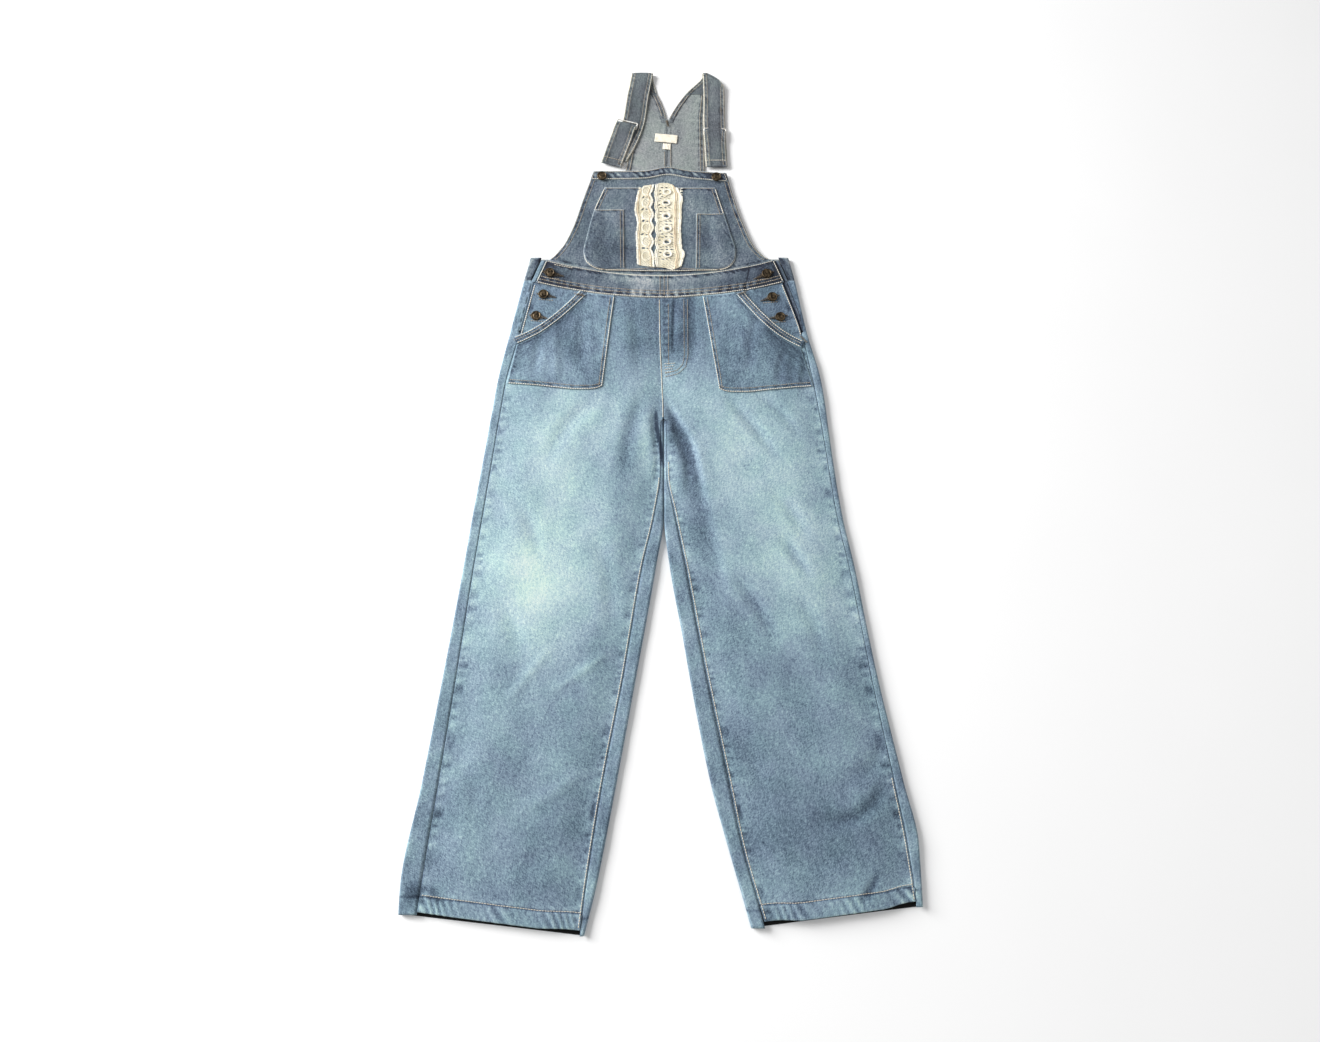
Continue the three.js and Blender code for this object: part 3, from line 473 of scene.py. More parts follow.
class Nodes:
    """A small helper that adds and joins shader nodes."""

    def __init__(self, name: str) -> None:
        """Makes an empty material with a surface shader.

        Args:
            name: of the material.
        """
        self.material = bpy.data.materials.new(name)
        self.material.use_nodes = True
        self.tree = self.material.node_tree
        self.shader = self.tree.nodes["Principled BSDF"]

    def add(self, kind: str, **settings: object) -> bpy.types.Node:
        """Adds a node and sets its properties.

        Args:
            kind: the node's type.
            settings: its properties.

        Returns:
            The node.
        """
        node = self.tree.nodes.new(kind)
        for key, value in settings.items():
            setattr(node, key, value)
        return node

    def link(self, out: Socket, into: Socket) -> None:
        """Joins two sockets."""
        self.tree.links.new(out, into)

    def value(self, node: bpy.types.Node, name: str, number: float) -> bpy.types.Node:
        """Sets one input of a node and gives the node back."""
        node.inputs[name].default_value = number
        return node

    def surface(self, values: dict[str, float]) -> None:
        """Sets inputs of the surface shader."""
        for name, number in values.items():
            self.shader.inputs[name].default_value = number

    def place(self) -> Socket:
        """The point on the object, in metres."""
        return self.add("ShaderNodeTexCoord").outputs["Object"]

    def cloth(self) -> Socket:
        """The point on the piece's own map, in metres."""
        return self.add("ShaderNodeUVMap", uv_map="Cloth").outputs["UV"]

    def mapped(self, vector: Socket, name: str, values: tuple[float, float, float]) -> Socket:
        """A vector after one step of a Mapping node.

        Args:
            vector: what is mapped.
            name: Rotation or Scale.
            values: angles or factors for the three axes.

        Returns:
            The mapped vector.
        """
        node = self.add("ShaderNodeMapping")
        node.inputs[name].default_value = values
        self.link(vector, node.inputs["Vector"])
        return node.outputs["Vector"]

    def ribs(self, vector: Socket, direction: str, pitch: float, **settings: float) -> Socket:
        """Straight ribs: a wave whose scale is pi / 10 over the pitch in metres.

        Args:
            vector: what the ribs run across.
            direction: the axis that they repeat along.
            pitch: from one rib to the next, in millimetres.
            settings: other inputs of the wave, with _ for a space.

        Returns:
            The ribs, from 0 to 1.
        """
        node = self.add("ShaderNodeTexWave", wave_type="BANDS", bands_direction=direction)
        self.value(node, "Scale", math.pi / 10.0 / (pitch * MM))
        for name, number in settings.items():
            self.value(node, name.replace("_", " "), number)
        self.link(vector, node.inputs["Vector"])
        return node.outputs["Fac"]

    def noise(self, vector: Socket, scale: float, detail: float) -> Socket:
        """Noise of the given scale, in waves per metre of the vector.

        Args:
            vector: where it is read.
            scale: waves per metre.
            detail: finer layers.

        Returns:
            The noise, about 0.5.
        """
        node = self.add("ShaderNodeTexNoise")
        self.value(self.value(node, "Scale", scale), "Detail", detail)
        self.link(vector, node.inputs["Vector"])
        return node.outputs["Fac"]

    def math(self, how: str, a: object, b: object, c: object = None) -> Socket:
        """A math node of up to three inputs, each a socket or a number.

        Args:
            how: the operation.
            a: first input.
            b: second input.
            c: third input, or none.

        Returns:
            The result.
        """
        node = self.add("ShaderNodeMath", operation=how)
        for k, item in enumerate((a, b, c)):
            if isinstance(item, Socket):
                self.link(item, node.inputs[k])
            elif item is not None:
                node.inputs[k].default_value = item
        return node.outputs[0]

    def attribute(self, name: str) -> Socket:
        """A number kept at the mesh's points."""
        return self.add("ShaderNodeAttribute", attribute_name=name).outputs["Fac"]

    def ramp(self, factor: Socket, stops: tuple[tuple[float, Rgb], ...]) -> Socket:
        """A colour ramp through the given stops.

        Args:
            factor: place on the ramp.
            stops: pairs of place and colour.

        Returns:
            The colour.
        """
        node = self.add("ShaderNodeValToRGB")
        elements = node.color_ramp.elements
        while len(elements) < len(stops):
            elements.new(0.5)
        for element, (position, colour) in zip(elements, stops):
            element.position = position
            element.color = colour.linear()
        self.link(factor, node.inputs["Fac"])
        return node.outputs["Color"]

    def bump(self, height: Socket, distance: float, strength: float) -> None:
        """Bump of the given depth, in metres, on the shader.

        Args:
            height: relief from 0 to 1.
            distance: its depth, in metres.
            strength: from 0 to 1.
        """
        node = self.add("ShaderNodeBump")
        self.value(self.value(node, "Distance", distance), "Strength", strength)
        self.link(height, node.inputs["Height"])
        self.link(node.outputs["Normal"], self.shader.inputs["Normal"])


@dataclass(frozen=True)
class Denim:
    """Washed twill: ribs along the piece's own map, heathered grain, blotches, fades and worn seams, with
    painted shade and light from the mesh.
    """

    name: str
    tone: float
    stops: tuple[tuple[float, Rgb], ...]
    grain: float = 0.56
    blotch: float = 0.3
    rib_mm: float = 1.5
    sheen: float = 0.06
    # whether the material adds the painted shade of the inner face
    lining: bool = False

    def streaks(self, n: Nodes, cloth: Socket, turn: float, stretch: float, scale: float) -> Socket:
        """Noise drawn out into short streaks.

        Args:
            n: the material's nodes.
            cloth: the piece's own map.
            turn: direction of the streaks from the piece's length, in degrees.
            stretch: length of a streak over its width.
            scale: streaks per metre across.

        Returns:
            The noise, about 0.5.
        """
        turned = n.mapped(cloth, "Rotation", (0.0, 0.0, math.radians(turn)))
        return n.noise(n.mapped(turned, "Scale", (1.0, 1.0 / stretch, 1.0)), scale, 2.0)

    def build(self) -> Material:
        """Makes the material.

        Returns:
            The material, whose tone is the base plus wash, seam wear and painted shade and light from the
            mesh, plus noise.
        """
        n = Nodes(self.name)
        place, cloth = n.place(), n.cloth()
        turned = n.mapped(cloth, "Rotation", (0.0, 0.0, math.radians(63.0)))
        rib = n.ribs(turned, "X", self.rib_mm, Distortion=1.2, Detail=1.0, Detail_Scale=0.6)
        fine = n.noise(place, 820.0, 2.0)
        twill = self.streaks(n, cloth, 58.0, 3.2, 560.0)
        warp = self.streaks(n, cloth, 0.0, 6.0, 640.0)
        heather = n.noise(place, 340.0, 2.0)
        cloud = n.noise(place, 13.0, 3.0)
        patch = self.streaks(n, cloth, 0.0, 2.6, 64.0)
        tone = n.math("MULTIPLY_ADD", n.math("SUBTRACT", fine, 0.5), 0.8 * self.grain, self.tone)
        for socket, share in (
            (twill, 0.7 * self.grain), (warp, 0.6 * self.grain), (heather, 0.3 * self.grain),
            (cloud, self.blotch), (patch, self.blotch * 0.45),
        ):
            tone = n.math("MULTIPLY_ADD", n.math("SUBTRACT", socket, 0.5), share, tone)
        tone = n.math("MULTIPLY_ADD", n.math("SUBTRACT", rib, 0.5), 0.08, tone)
        tone = n.math("ADD", tone, n.attribute("wash"))
        # Painted shade and light: this attribute carries shade in creases, hollows and gaps as well as seam
        # wear.
        tone = n.math("ADD", tone, n.attribute("wear"))
        # Painted shade: darker inner face where a leg's opening lies in shadow.
        if self.lining:
            tone = n.math("ADD", tone, n.attribute("lining"))
        tint = n.add("ShaderNodeMix", data_type="RGBA", blend_type="MULTIPLY")
        n.value(tint, "Factor", 1.0)
        n.link(n.ramp(tone, self.stops), tint.inputs["A"])
        hue = n.ramp(n.noise(place, 24.0, 2.0), ((0.36, Rgb(251, 255, 251)), (0.64, Rgb(255, 252, 254))))
        n.link(hue, tint.inputs["B"])
        n.link(tint.outputs["Result"], n.shader.inputs["Base Color"])
        n.surface({"Roughness": 0.9, "Specular IOR Level": 0.15})
        n.surface({"Sheen Weight": self.sheen, "Sheen Roughness": 0.5})
        relief = n.math("MULTIPLY_ADD", warp, 0.5, n.math("MULTIPLY", rib, 0.4))
        relief = n.math("MULTIPLY_ADD", fine, 0.6, relief)
        relief = n.math("MULTIPLY_ADD", heather, 0.8, relief)
        n.bump(relief, 0.0006, 0.5)
        return n.material


LEG_STOPS = (
    (0.0, Rgb(46, 58, 74)),
    (0.25, Rgb(88, 106, 124)),
    (0.47, Rgb(124, 146, 162)),
    (0.68, Rgb(156, 181, 190)),
    (0.86, Rgb(184, 208, 206)),
    (1.0, Rgb(206, 220, 212)),
)
BIB_STOPS = (
    (0.0, Rgb(40, 46, 58)),
    (0.25, Rgb(78, 90, 104)),
    (0.47, Rgb(112, 124, 134)),
    (0.7, Rgb(154, 163, 166)),
    (1.0, Rgb(214, 214, 206)),
)
STRAP_STOPS = (
    (0.0, Rgb(52, 54, 58)),
    (0.25, Rgb(86, 92, 98)),
    (0.47, Rgb(116, 124, 128)),
    (0.7, Rgb(158, 158, 150)),
    (1.0, Rgb(212, 204, 188)),
)
# The near-black low end is reached where painted shade darkens the inside of the legs' openings.
INSIDE_STOPS = (
    (0.0, Rgb(24, 24, 24)),
    (0.18, Rgb(92, 98, 104)),
    (0.3, Rgb(122, 128, 130)),
    (0.47, Rgb(152, 157, 156)),
    (0.7, Rgb(184, 188, 184)),
    (1.0, Rgb(222, 222, 214)),
)


@dataclass(frozen=True)
class Thread:
    """Twisted sewing or crochet thread: fine slanting ribs and a slightly uneven colour."""

    name: str
    light: Rgb
    dark: Rgb
    rib_mm: float = 0.7

    def build(self) -> Material:
        """Makes the material.

        Returns:
            The material.
        """
        n = Nodes(self.name)
        place = n.place()
        rib = n.ribs(place, "DIAGONAL", self.rib_mm, Distortion=0.8)
        tone = n.math("MULTIPLY_ADD", n.noise(place, 60.0, 2.0), 0.9, 0.05)
        tone = n.math("MULTIPLY_ADD", rib, 0.2, tone)
        n.link(n.ramp(tone, ((0.25, self.dark), (0.75, self.light))), n.shader.inputs["Base Color"])
        n.surface({"Roughness": 0.75, "Sheen Weight": 0.1})
        n.bump(rib, 0.0003, 0.5)
        return n.material


@dataclass(frozen=True)
class Metal:
    """Cast metal with patchy tarnish and finer scratches."""

    name: str
    bright: Rgb
    dull: Rgb
    roughness: float
    metallic: float = 0.9

    def build(self) -> Material:
        """Makes the material.

        Returns:
            The material.
        """
        n = Nodes(self.name)
        place = n.place()
        patch = n.noise(place, 260.0, 4.0)
        scratch = n.noise(place, 1400.0, 2.0)
        n.link(n.ramp(patch, ((0.38, self.dull), (0.66, self.bright))), n.shader.inputs["Base Color"])
        n.link(n.math("MULTIPLY_ADD", patch, 0.3, self.roughness - 0.15), n.shader.inputs["Roughness"])
        n.surface({"Metallic": self.metallic})
        n.bump(n.math("MULTIPLY_ADD", scratch, 0.4, patch), 0.0002, 0.4)
        return n.material


@dataclass(frozen=True)
class Tape:
    """Blank woven label tape: a plain weave of warp and weft ribs."""

    name: str
    light: Rgb
    dark: Rgb

    def build(self) -> Material:
        """Makes the material.

        Returns:
            The material.
        """
        n = Nodes(self.name)
        cloth = n.cloth()
        weave = n.math("MULTIPLY", n.ribs(cloth, "X", 0.6), n.ribs(cloth, "Y", 0.6))
        tone = n.math("MULTIPLY_ADD", weave, 0.3, n.noise(n.place(), 120.0, 2.0))
        n.link(n.ramp(tone, ((0.3, self.dark), (0.8, self.light))), n.shader.inputs["Base Color"])
        n.surface({"Roughness": 0.7})
        n.bump(weave, 0.0002, 0.4)
        return n.material


class Finish(Enum):
    """The finishes of the garment."""

    LEG = Denim("leg_denim", 0.45, LEG_STOPS, grain=0.8, blotch=0.42)
    HIP = Denim("pocket_denim", 0.31, LEG_STOPS, grain=0.8, blotch=0.66)
    BIB = Denim("bib_denim", 0.37, BIB_STOPS, grain=0.9, blotch=0.74)
    STRAP = Denim("strap_denim", 0.38, STRAP_STOPS, grain=0.7, blotch=0.5)
    INSIDE = Denim("inside_denim", 0.36, INSIDE_STOPS, blotch=0.2, lining=True)
    CREAM = Thread("cream_thread", Rgb(234, 227, 212), Rgb(196, 184, 162))
    TAN = Thread("tan_thread", Rgb(182, 170, 152), Rgb(128, 116, 100))
    BROWN = Thread("brown_thread", Rgb(128, 110, 84), Rgb(70, 58, 44), rib_mm=1.1)
    CROCHET = Thread("crochet_cotton", Rgb(254, 251, 240), Rgb(238, 230, 206), rib_mm=0.5)
    # Painted shade: the ground bars take a darker, tanner copy of the crochet cotton, as shade beneath the
    # raised work.
    GROUND = Thread("crochet_ground", Rgb(246, 240, 220), Rgb(204, 192, 156), rib_mm=0.5)
    # Painted shade: tan cotton for the lines down the lace where its work lies in shadow.
    FLAX = Thread("aged_cotton", Rgb(236, 220, 192), Rgb(196, 172, 138), rib_mm=0.5)
    BRONZE = Metal("aged_bronze", Rgb(104, 90, 70), Rgb(40, 34, 26), 0.5)
    NICKEL = Metal("worn_nickel", Rgb(250, 250, 248), Rgb(188, 182, 170), 0.34, 0.3)
    TAPE = Tape("label_tape", Rgb(244, 238, 222), Rgb(216, 206, 186))


class Wardrobe:
    """Builds each finish once."""

    def __init__(self) -> None:
        """Starts with no material made."""
        self.made: dict[Finish, Material] = {}

    def __getitem__(self, finish: Finish) -> Material:
        """The material of a finish.

        Args:
            finish: which one.

        Returns:
            Its material.
        """
        if finish not in self.made:
            self.made[finish] = finish.value.build()
        return self.made[finish]


WARDROBE = Wardrobe()


@dataclass
class Piece:
    """What a finished piece is called, replaces and is made of."""

    name: str
    slot: str
    finish: Finish
    nodes: tuple[str, ...] = ()
    reverse: Finish | None = None

    @classmethod
    def cloth(cls, node: str, slot: str, finish: Finish, reverse: Finish | None = None) -> "Piece":
        """A cloth piece, named after the one node that it stands for."""
        return cls(f"cloth_{node}", slot, finish, (node,), reverse)


class Edge(Enum):
    """An edge of a panel's grid."""

    LEFT = "left"
    RIGHT = "right"
    FOOT = "foot"
    TOP = "top"


class Surface:
    """A panel's grid of points, with ways to find places on it."""

    def __init__(self, grid: Array) -> None:
        """Keeps rows x columns x 3 points, in millimetres."""
        self.grid = grid

    @staticmethod
    def reach(grid: Array) -> Array:
        """Distance along each row from its first point."""
        steps = np.linalg.norm(np.diff(grid, axis=1), axis=2)
        return np.concatenate([np.zeros((len(grid), 1)), np.cumsum(steps, axis=1)], axis=1)

    def border(self) -> Array:
        """Distance of each point from the nearest edge, along its row or its column.

        Returns:
            The distances, in millimetres.
        """
        across = self.reach(self.grid)
        along = self.reach(self.grid.transpose(1, 0, 2)).T
        sides = np.minimum(across, across[:, -1:] - across)
        return np.minimum(sides, np.minimum(along, along[-1:] - along))

    def inset(self, edge: Edge, distance: float, start: float = 0.0, stop: float = 0.0) -> Array:
        """A line on the surface at one distance from an edge.

        Args:
            edge: the edge that the line follows.
            distance: from the edge, in millimetres.
            start: length left out at the line's start.
            stop: length left out at its end.

        Returns:
            The line's points.
        """
        grid = self.grid if edge in (Edge.LEFT, Edge.RIGHT) else self.grid.transpose(1, 0, 2)
        grid = grid[:, ::-1] if edge in (Edge.RIGHT, Edge.TOP) else grid
        reach = self.reach(grid)
        k = np.clip((reach <= distance).sum(axis=1) - 1, 0, grid.shape[1] - 2)
        i = np.arange(len(grid))
        t = ((distance - reach[i, k]) / np.maximum(reach[i, k + 1] - reach[i, k], 1e-9))[:, None]
        line = grid[i, k] * (1 - t) + grid[i, k + 1] * t
        gone = np.concatenate([[0.0], np.cumsum(np.linalg.norm(np.diff(line, axis=0), axis=1))])
        return line[(gone >= start) & (gone <= gone[-1] - stop)]

    def drop(self, plan: list[tuple[float, float]] | Array, lift: float = 0.15, step: float = 3.0) -> Array:
        """A plan path laid on the surface: the height is the mean of the four nearest points, by distance.

        Args:
            plan: corners of the path.
            lift: height above the surface.
            step: greatest distance between points.

        Returns:
            The path's points.
        """
        corners = np.asarray(plan, float)
        gone = np.concatenate([[0.0], np.cumsum(np.linalg.norm(np.diff(corners, axis=0), axis=1))])
        at = np.linspace(0.0, gone[-1], max(2, int(gone[-1] / step) + 1))
        path = np.column_stack([np.interp(at, gone, corners[:, k]) for k in range(2)])
        flat = self.grid.reshape(-1, 3)
        flat = flat[flat[:, 2] > flat[:, 2].max() * 0.4]
        away = np.hypot(path[:, None, 0] - flat[None, :, 0], path[:, None, 1] - flat[None, :, 1])
        near = np.argpartition(away, 4, axis=1)[:, :4]
        weight = 1.0 / (np.take_along_axis(away, near, axis=1) + 0.2)
        z = (flat[near, 2] * weight).sum(axis=1) / weight.sum(axis=1)
        return np.column_stack([path, z + lift])


class Cloth:
    """Turns grids of points into pieces."""

    @staticmethod
    def place(points: Array) -> Array:
        """Garment millimetres to the model's metres."""
        return (points - np.array([MIDDLE[0], MIDDLE[1], 0.0])) * MM

    @staticmethod
    def mesh(name: str, points: Array, faces: Array) -> Object:
        """A smooth-shaded mesh object from points in millimetres and faces of one size.

        Args:
            name: of the object.
            points: rows of x, y, z.
            faces: rows of point numbers.

        Returns:
            The object, linked to the scene.
        """
        data = bpy.data.meshes.new(name)
        count, corners = faces.shape
        data.vertices.add(len(points))
        data.vertices.foreach_set("co", Cloth.place(points).astype(np.float32).ravel())
        data.loops.add(count * corners)
        data.loops.foreach_set("vertex_index", faces.astype(np.int32).ravel())
        data.polygons.add(count)
        data.polygons.foreach_set("loop_start", np.arange(0, count * corners, corners, dtype=np.int32))
        data.polygons.foreach_set("use_smooth", np.ones(count, bool))
        data.update(calc_edges=True)
        data.validate()
        obj = bpy.data.objects.new(name, data)
        bpy.context.scene.collection.objects.link(obj)
        return obj

    @staticmethod
    def numbers(obj: Object, name: str, values: Array) -> None:
        """Keeps one number at each point of the mesh."""
        attribute = obj.data.attributes.new(name, "FLOAT", "POINT")
        attribute.data.foreach_set("value", np.asarray(values, np.float32).ravel())

    @staticmethod
    def finish(obj: Object, piece: Piece) -> Object:
        """Gives a mesh its materials and its body, and hides the nodes that it stands for.

        Args:
            obj: the mesh object.
            piece: what it is.

        Returns:
            The same object.
        """
        obj.data.materials.append(WARDROBE[piece.finish])
        if piece.reverse is not None:
            obj.data.materials.append(WARDROBE[piece.reverse])
        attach(obj, "root")
        if piece.nodes:
            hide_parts(*piece.nodes)
        LOG.info("%s: %d faces", obj.name, len(obj.data.polygons))
        return obj

    @staticmethod
    def panel(
        piece: Piece,
        grid: Array,
        wall: float,
        facing: Facing = Facing.UP,
        offset: float = -1.0,
        wear: Array | None = None,
        washed: Array | None = None,
        rests_on: tuple[str, ...] = (),
        lining: Array | None = None,
    ) -> Surface:
        """A shell of cloth over a grid of points.

        Args:
            piece: what the panel is.
            grid: rows x columns x 3 points, in millimetres.
            wall: thickness of the cloth, in millimetres.
            facing: which way the grid's own side looks, on the whole.
            offset: -1 puts the wall behind the grid, 0 half on each side.
            wear: what seam wear and painted shade and light add to the tone, per point.
            washed: what fading adds to the tone, per point.
            rests_on: names of what the panel lies on; not used.
            lining: painted shade that darkens the inner face, per point.

        Returns:
            The grid as a surface.
        """
        rows, cols = grid.shape[:2]
        across = np.cross(grid[:-1, 1:] - grid[:-1, :-1], grid[1:, :-1] - grid[:-1, :-1])
        flip = np.sign(across[..., 2].sum()) != facing.value
        index = np.arange(rows * cols).reshape(rows, cols)
        corners = (index[:-1, :-1], index[:-1, 1:], index[1:, 1:], index[1:, :-1])
        quads = np.stack(corners, axis=-1).reshape(-1, 4)
        obj = Cloth.mesh(piece.name, grid.reshape(-1, 3), quads[:, ::-1] if flip else quads)
        u, v = Surface.reach(grid), Surface.reach(grid.transpose(1, 0, 2)).T
        layer = obj.data.uv_layers.new(name="Cloth")
        loops = np.zeros(len(obj.data.loops), np.int32)
        obj.data.loops.foreach_get("vertex_index", loops)
        along = v.mean(axis=1)[:, None].repeat(cols, 1)
        flat = np.stack([(u - u[:, -1:] / 2).ravel(), along.ravel()], -1) * MM
        layer.data.foreach_set("uv", flat[loops].astype(np.float32).ravel())
        Cloth.numbers(obj, "wear", np.zeros(rows * cols) if wear is None else wear)
        Cloth.numbers(obj, "wash", np.zeros(rows * cols) if washed is None else washed)
        Cloth.numbers(obj, "lining", np.zeros(rows * cols) if lining is None else lining)
        solid = obj.modifiers.new("wall", "SOLIDIFY")
        solid.thickness = wall * MM
        solid.offset = offset
        solid.material_offset = 0 if piece.reverse is None else 1
        Cloth.finish(obj, piece)
        area = float(np.linalg.norm(across, axis=2).sum()) * MM * MM
        width, length = float(u[:, -1].max()) * MM, float(v[-1].max()) * MM
        area = min(area, width * length)
        return Surface(grid)


def spaced(count: int, edge: float) -> Array:
    """Numbers from 0 to 1, closer together at both ends: t - edge * sin(2 pi t) / (2 pi)."""
    t = np.linspace(0.0, 1.0, count)
    return t - edge * np.sin(2 * np.pi * t) / (2 * np.pi)


def puckers(along: Array, away: Array, pitch: float, reach: float) -> Array:
    """Uneven puckers beside a seam, of about unit height.

    A wave of the given pitch along the seam, whose phase wanders, fades as a bell away from it.

    Args:
        along: distance along the seam.
        away: distance from it.
        pitch: length of one pucker.
        reach: how far they run.

    Returns:
        The puckers, from about -1 to 1.
    """
    wander = 1.4 * np.sin(along / (pitch * 2.3))
    phase = 2 * np.pi * along / pitch + wander + 0.9 * np.sin(along / (pitch * 0.91) + 1.0)
    uneven = 0.72 + 0.28 * np.sin(along / (pitch * 3.7)) * np.sin(along / (pitch * 1.3) + 0.7)
    return np.sin(phase) * bell(away, reach) * uneven


def notches(along: Array, away: Array, pitch: float, near: float, reach: float) -> tuple[Array, Array]:
    """Dark dents that pucker one side of a seam, and the worn patches between them.

    Repeats of an uneven pitch: each has a dent whose strength and reach follow from the repeat's number.

    Args:
        along: distance along the seam.
        away: distance from it, in millimetres.
        pitch: mean length of a repeat.
        near: where the dents start.
        reach: how far the longest run.

    Returns:
        The dents and the worn patches, each from 0 to 1.
    """
    phase = along / pitch + 0.55 * np.sin(along / (pitch * 1.37)) + 0.3 * np.sin(along / (pitch * 0.61) + 2.0)
    number = np.floor(phase)
    chance = np.mod(np.sin(number * 12.9898 + pitch) * 43758.5453, 1.0)
    length = near + (reach - near) * (0.35 + 0.65 * np.mod(chance * 7.31, 1.0))
    across = smooth(near - 0.8, near + 0.4, away) * smooth(length + 2.5, length - 1.5, away)
    dent = bell(phase - number - 0.5, 0.12 + 0.16 * chance) * (0.2 + 0.8 * chance) * across
    worn = bell(phase - number - 0.0, 0.24) + bell(phase - number - 1.0, 0.24)
    return dent, worn * smooth(reach + 3.0, near, away) * smooth(0.0, near, away) * (1.2 - chance)


class SeamStitches:
    """Rows of separate stitches, joined into one mesh."""

    sides = 4
    rings = ((0.0, 0.35), (0.22, 1.0), (0.78, 1.0), (1.0, 0.35))

    def __init__(self, name: str, finish: Finish, slot: str) -> None:
        """Starts an empty mesh of stitches.

        Args:
            name: of the piece.
            finish: of the thread.
            slot: its material slot.
        """
        self.piece = Piece(name, slot, finish)
        self.points: list[Array] = []
        self.count = 0

    def row(self, path: Array, pitch: float = 3.8, length: float = 3.3, width: float = 1.3) -> None:
        """Adds stitches end to end along a path of points that lie on the cloth.

        Each stitch is a flattened spindle: four-sided rings whose radius grows to the middle, sunk a little.

        Args:
            path: points in millimetres.
            pitch: from one stitch to the next.
            length: of one stitch.
            width: of one stitch.
        """
        steps = np.linalg.norm(np.diff(path, axis=0), axis=1)
        reach = np.concatenate([[0.0], np.cumsum(steps)])
        count = int(reach[-1] // pitch)
        if count < 1:
            return
        starts = (np.arange(count) + 0.5) * (reach[-1] / count) - length / 2
        at = starts[:, None] + np.array([t for t, _ in self.rings])[None, :] * length
        middle = np.stack([np.interp(at, reach, path[:, k]) for k in range(3)], axis=-1)
        run = middle[:, -1] - middle[:, 0]
        run /= np.maximum(np.linalg.norm(run, axis=1, keepdims=True), 1e-9)
        side = np.cross(run, np.array([0.0, 0.0, 1.0]))
        side /= np.maximum(np.linalg.norm(side, axis=1, keepdims=True), 1e-9)
        up = np.cross(side, run)
        angle = np.arange(self.sides) * 2 * np.pi / self.sides + np.pi / 4
        radius = np.array([r for _, r in self.rings]) * width / 2
        ring = (
            side[:, None, None] * np.cos(angle)[None, None, :, None]
            + 0.75 * up[:, None, None] * np.sin(angle)[None, None, :, None]
        ) * radius[None, :, None, None]
        self.points.append((middle[:, :, None] + ring + np.array([0.0, 0.0, width * 0.18])).reshape(-1, 3))
        self.count += count

    def build(self) -> Object:
        """Joins all rows into one finished object.

        Returns:
            The object.
        """
        sides, rings = self.sides, len(self.rings)
        one = []
        for r in range(rings - 1):
            for s in range(sides):
                t = (s + 1) % sides
                one.append((r * sides + s, (r + 1) * sides + s, (r + 1) * sides + t, r * sides + t))
        one.append(tuple(range(sides)))
        one.append(tuple((rings - 1) * sides + s for s in reversed(range(sides))))
        faces = (np.array(one)[None] + (np.arange(self.count) * sides * rings)[:, None, None]).reshape(-1, 4)
        obj = Cloth.mesh(self.piece.name, np.concatenate(self.points), faces)
        return Cloth.finish(obj, self.piece)


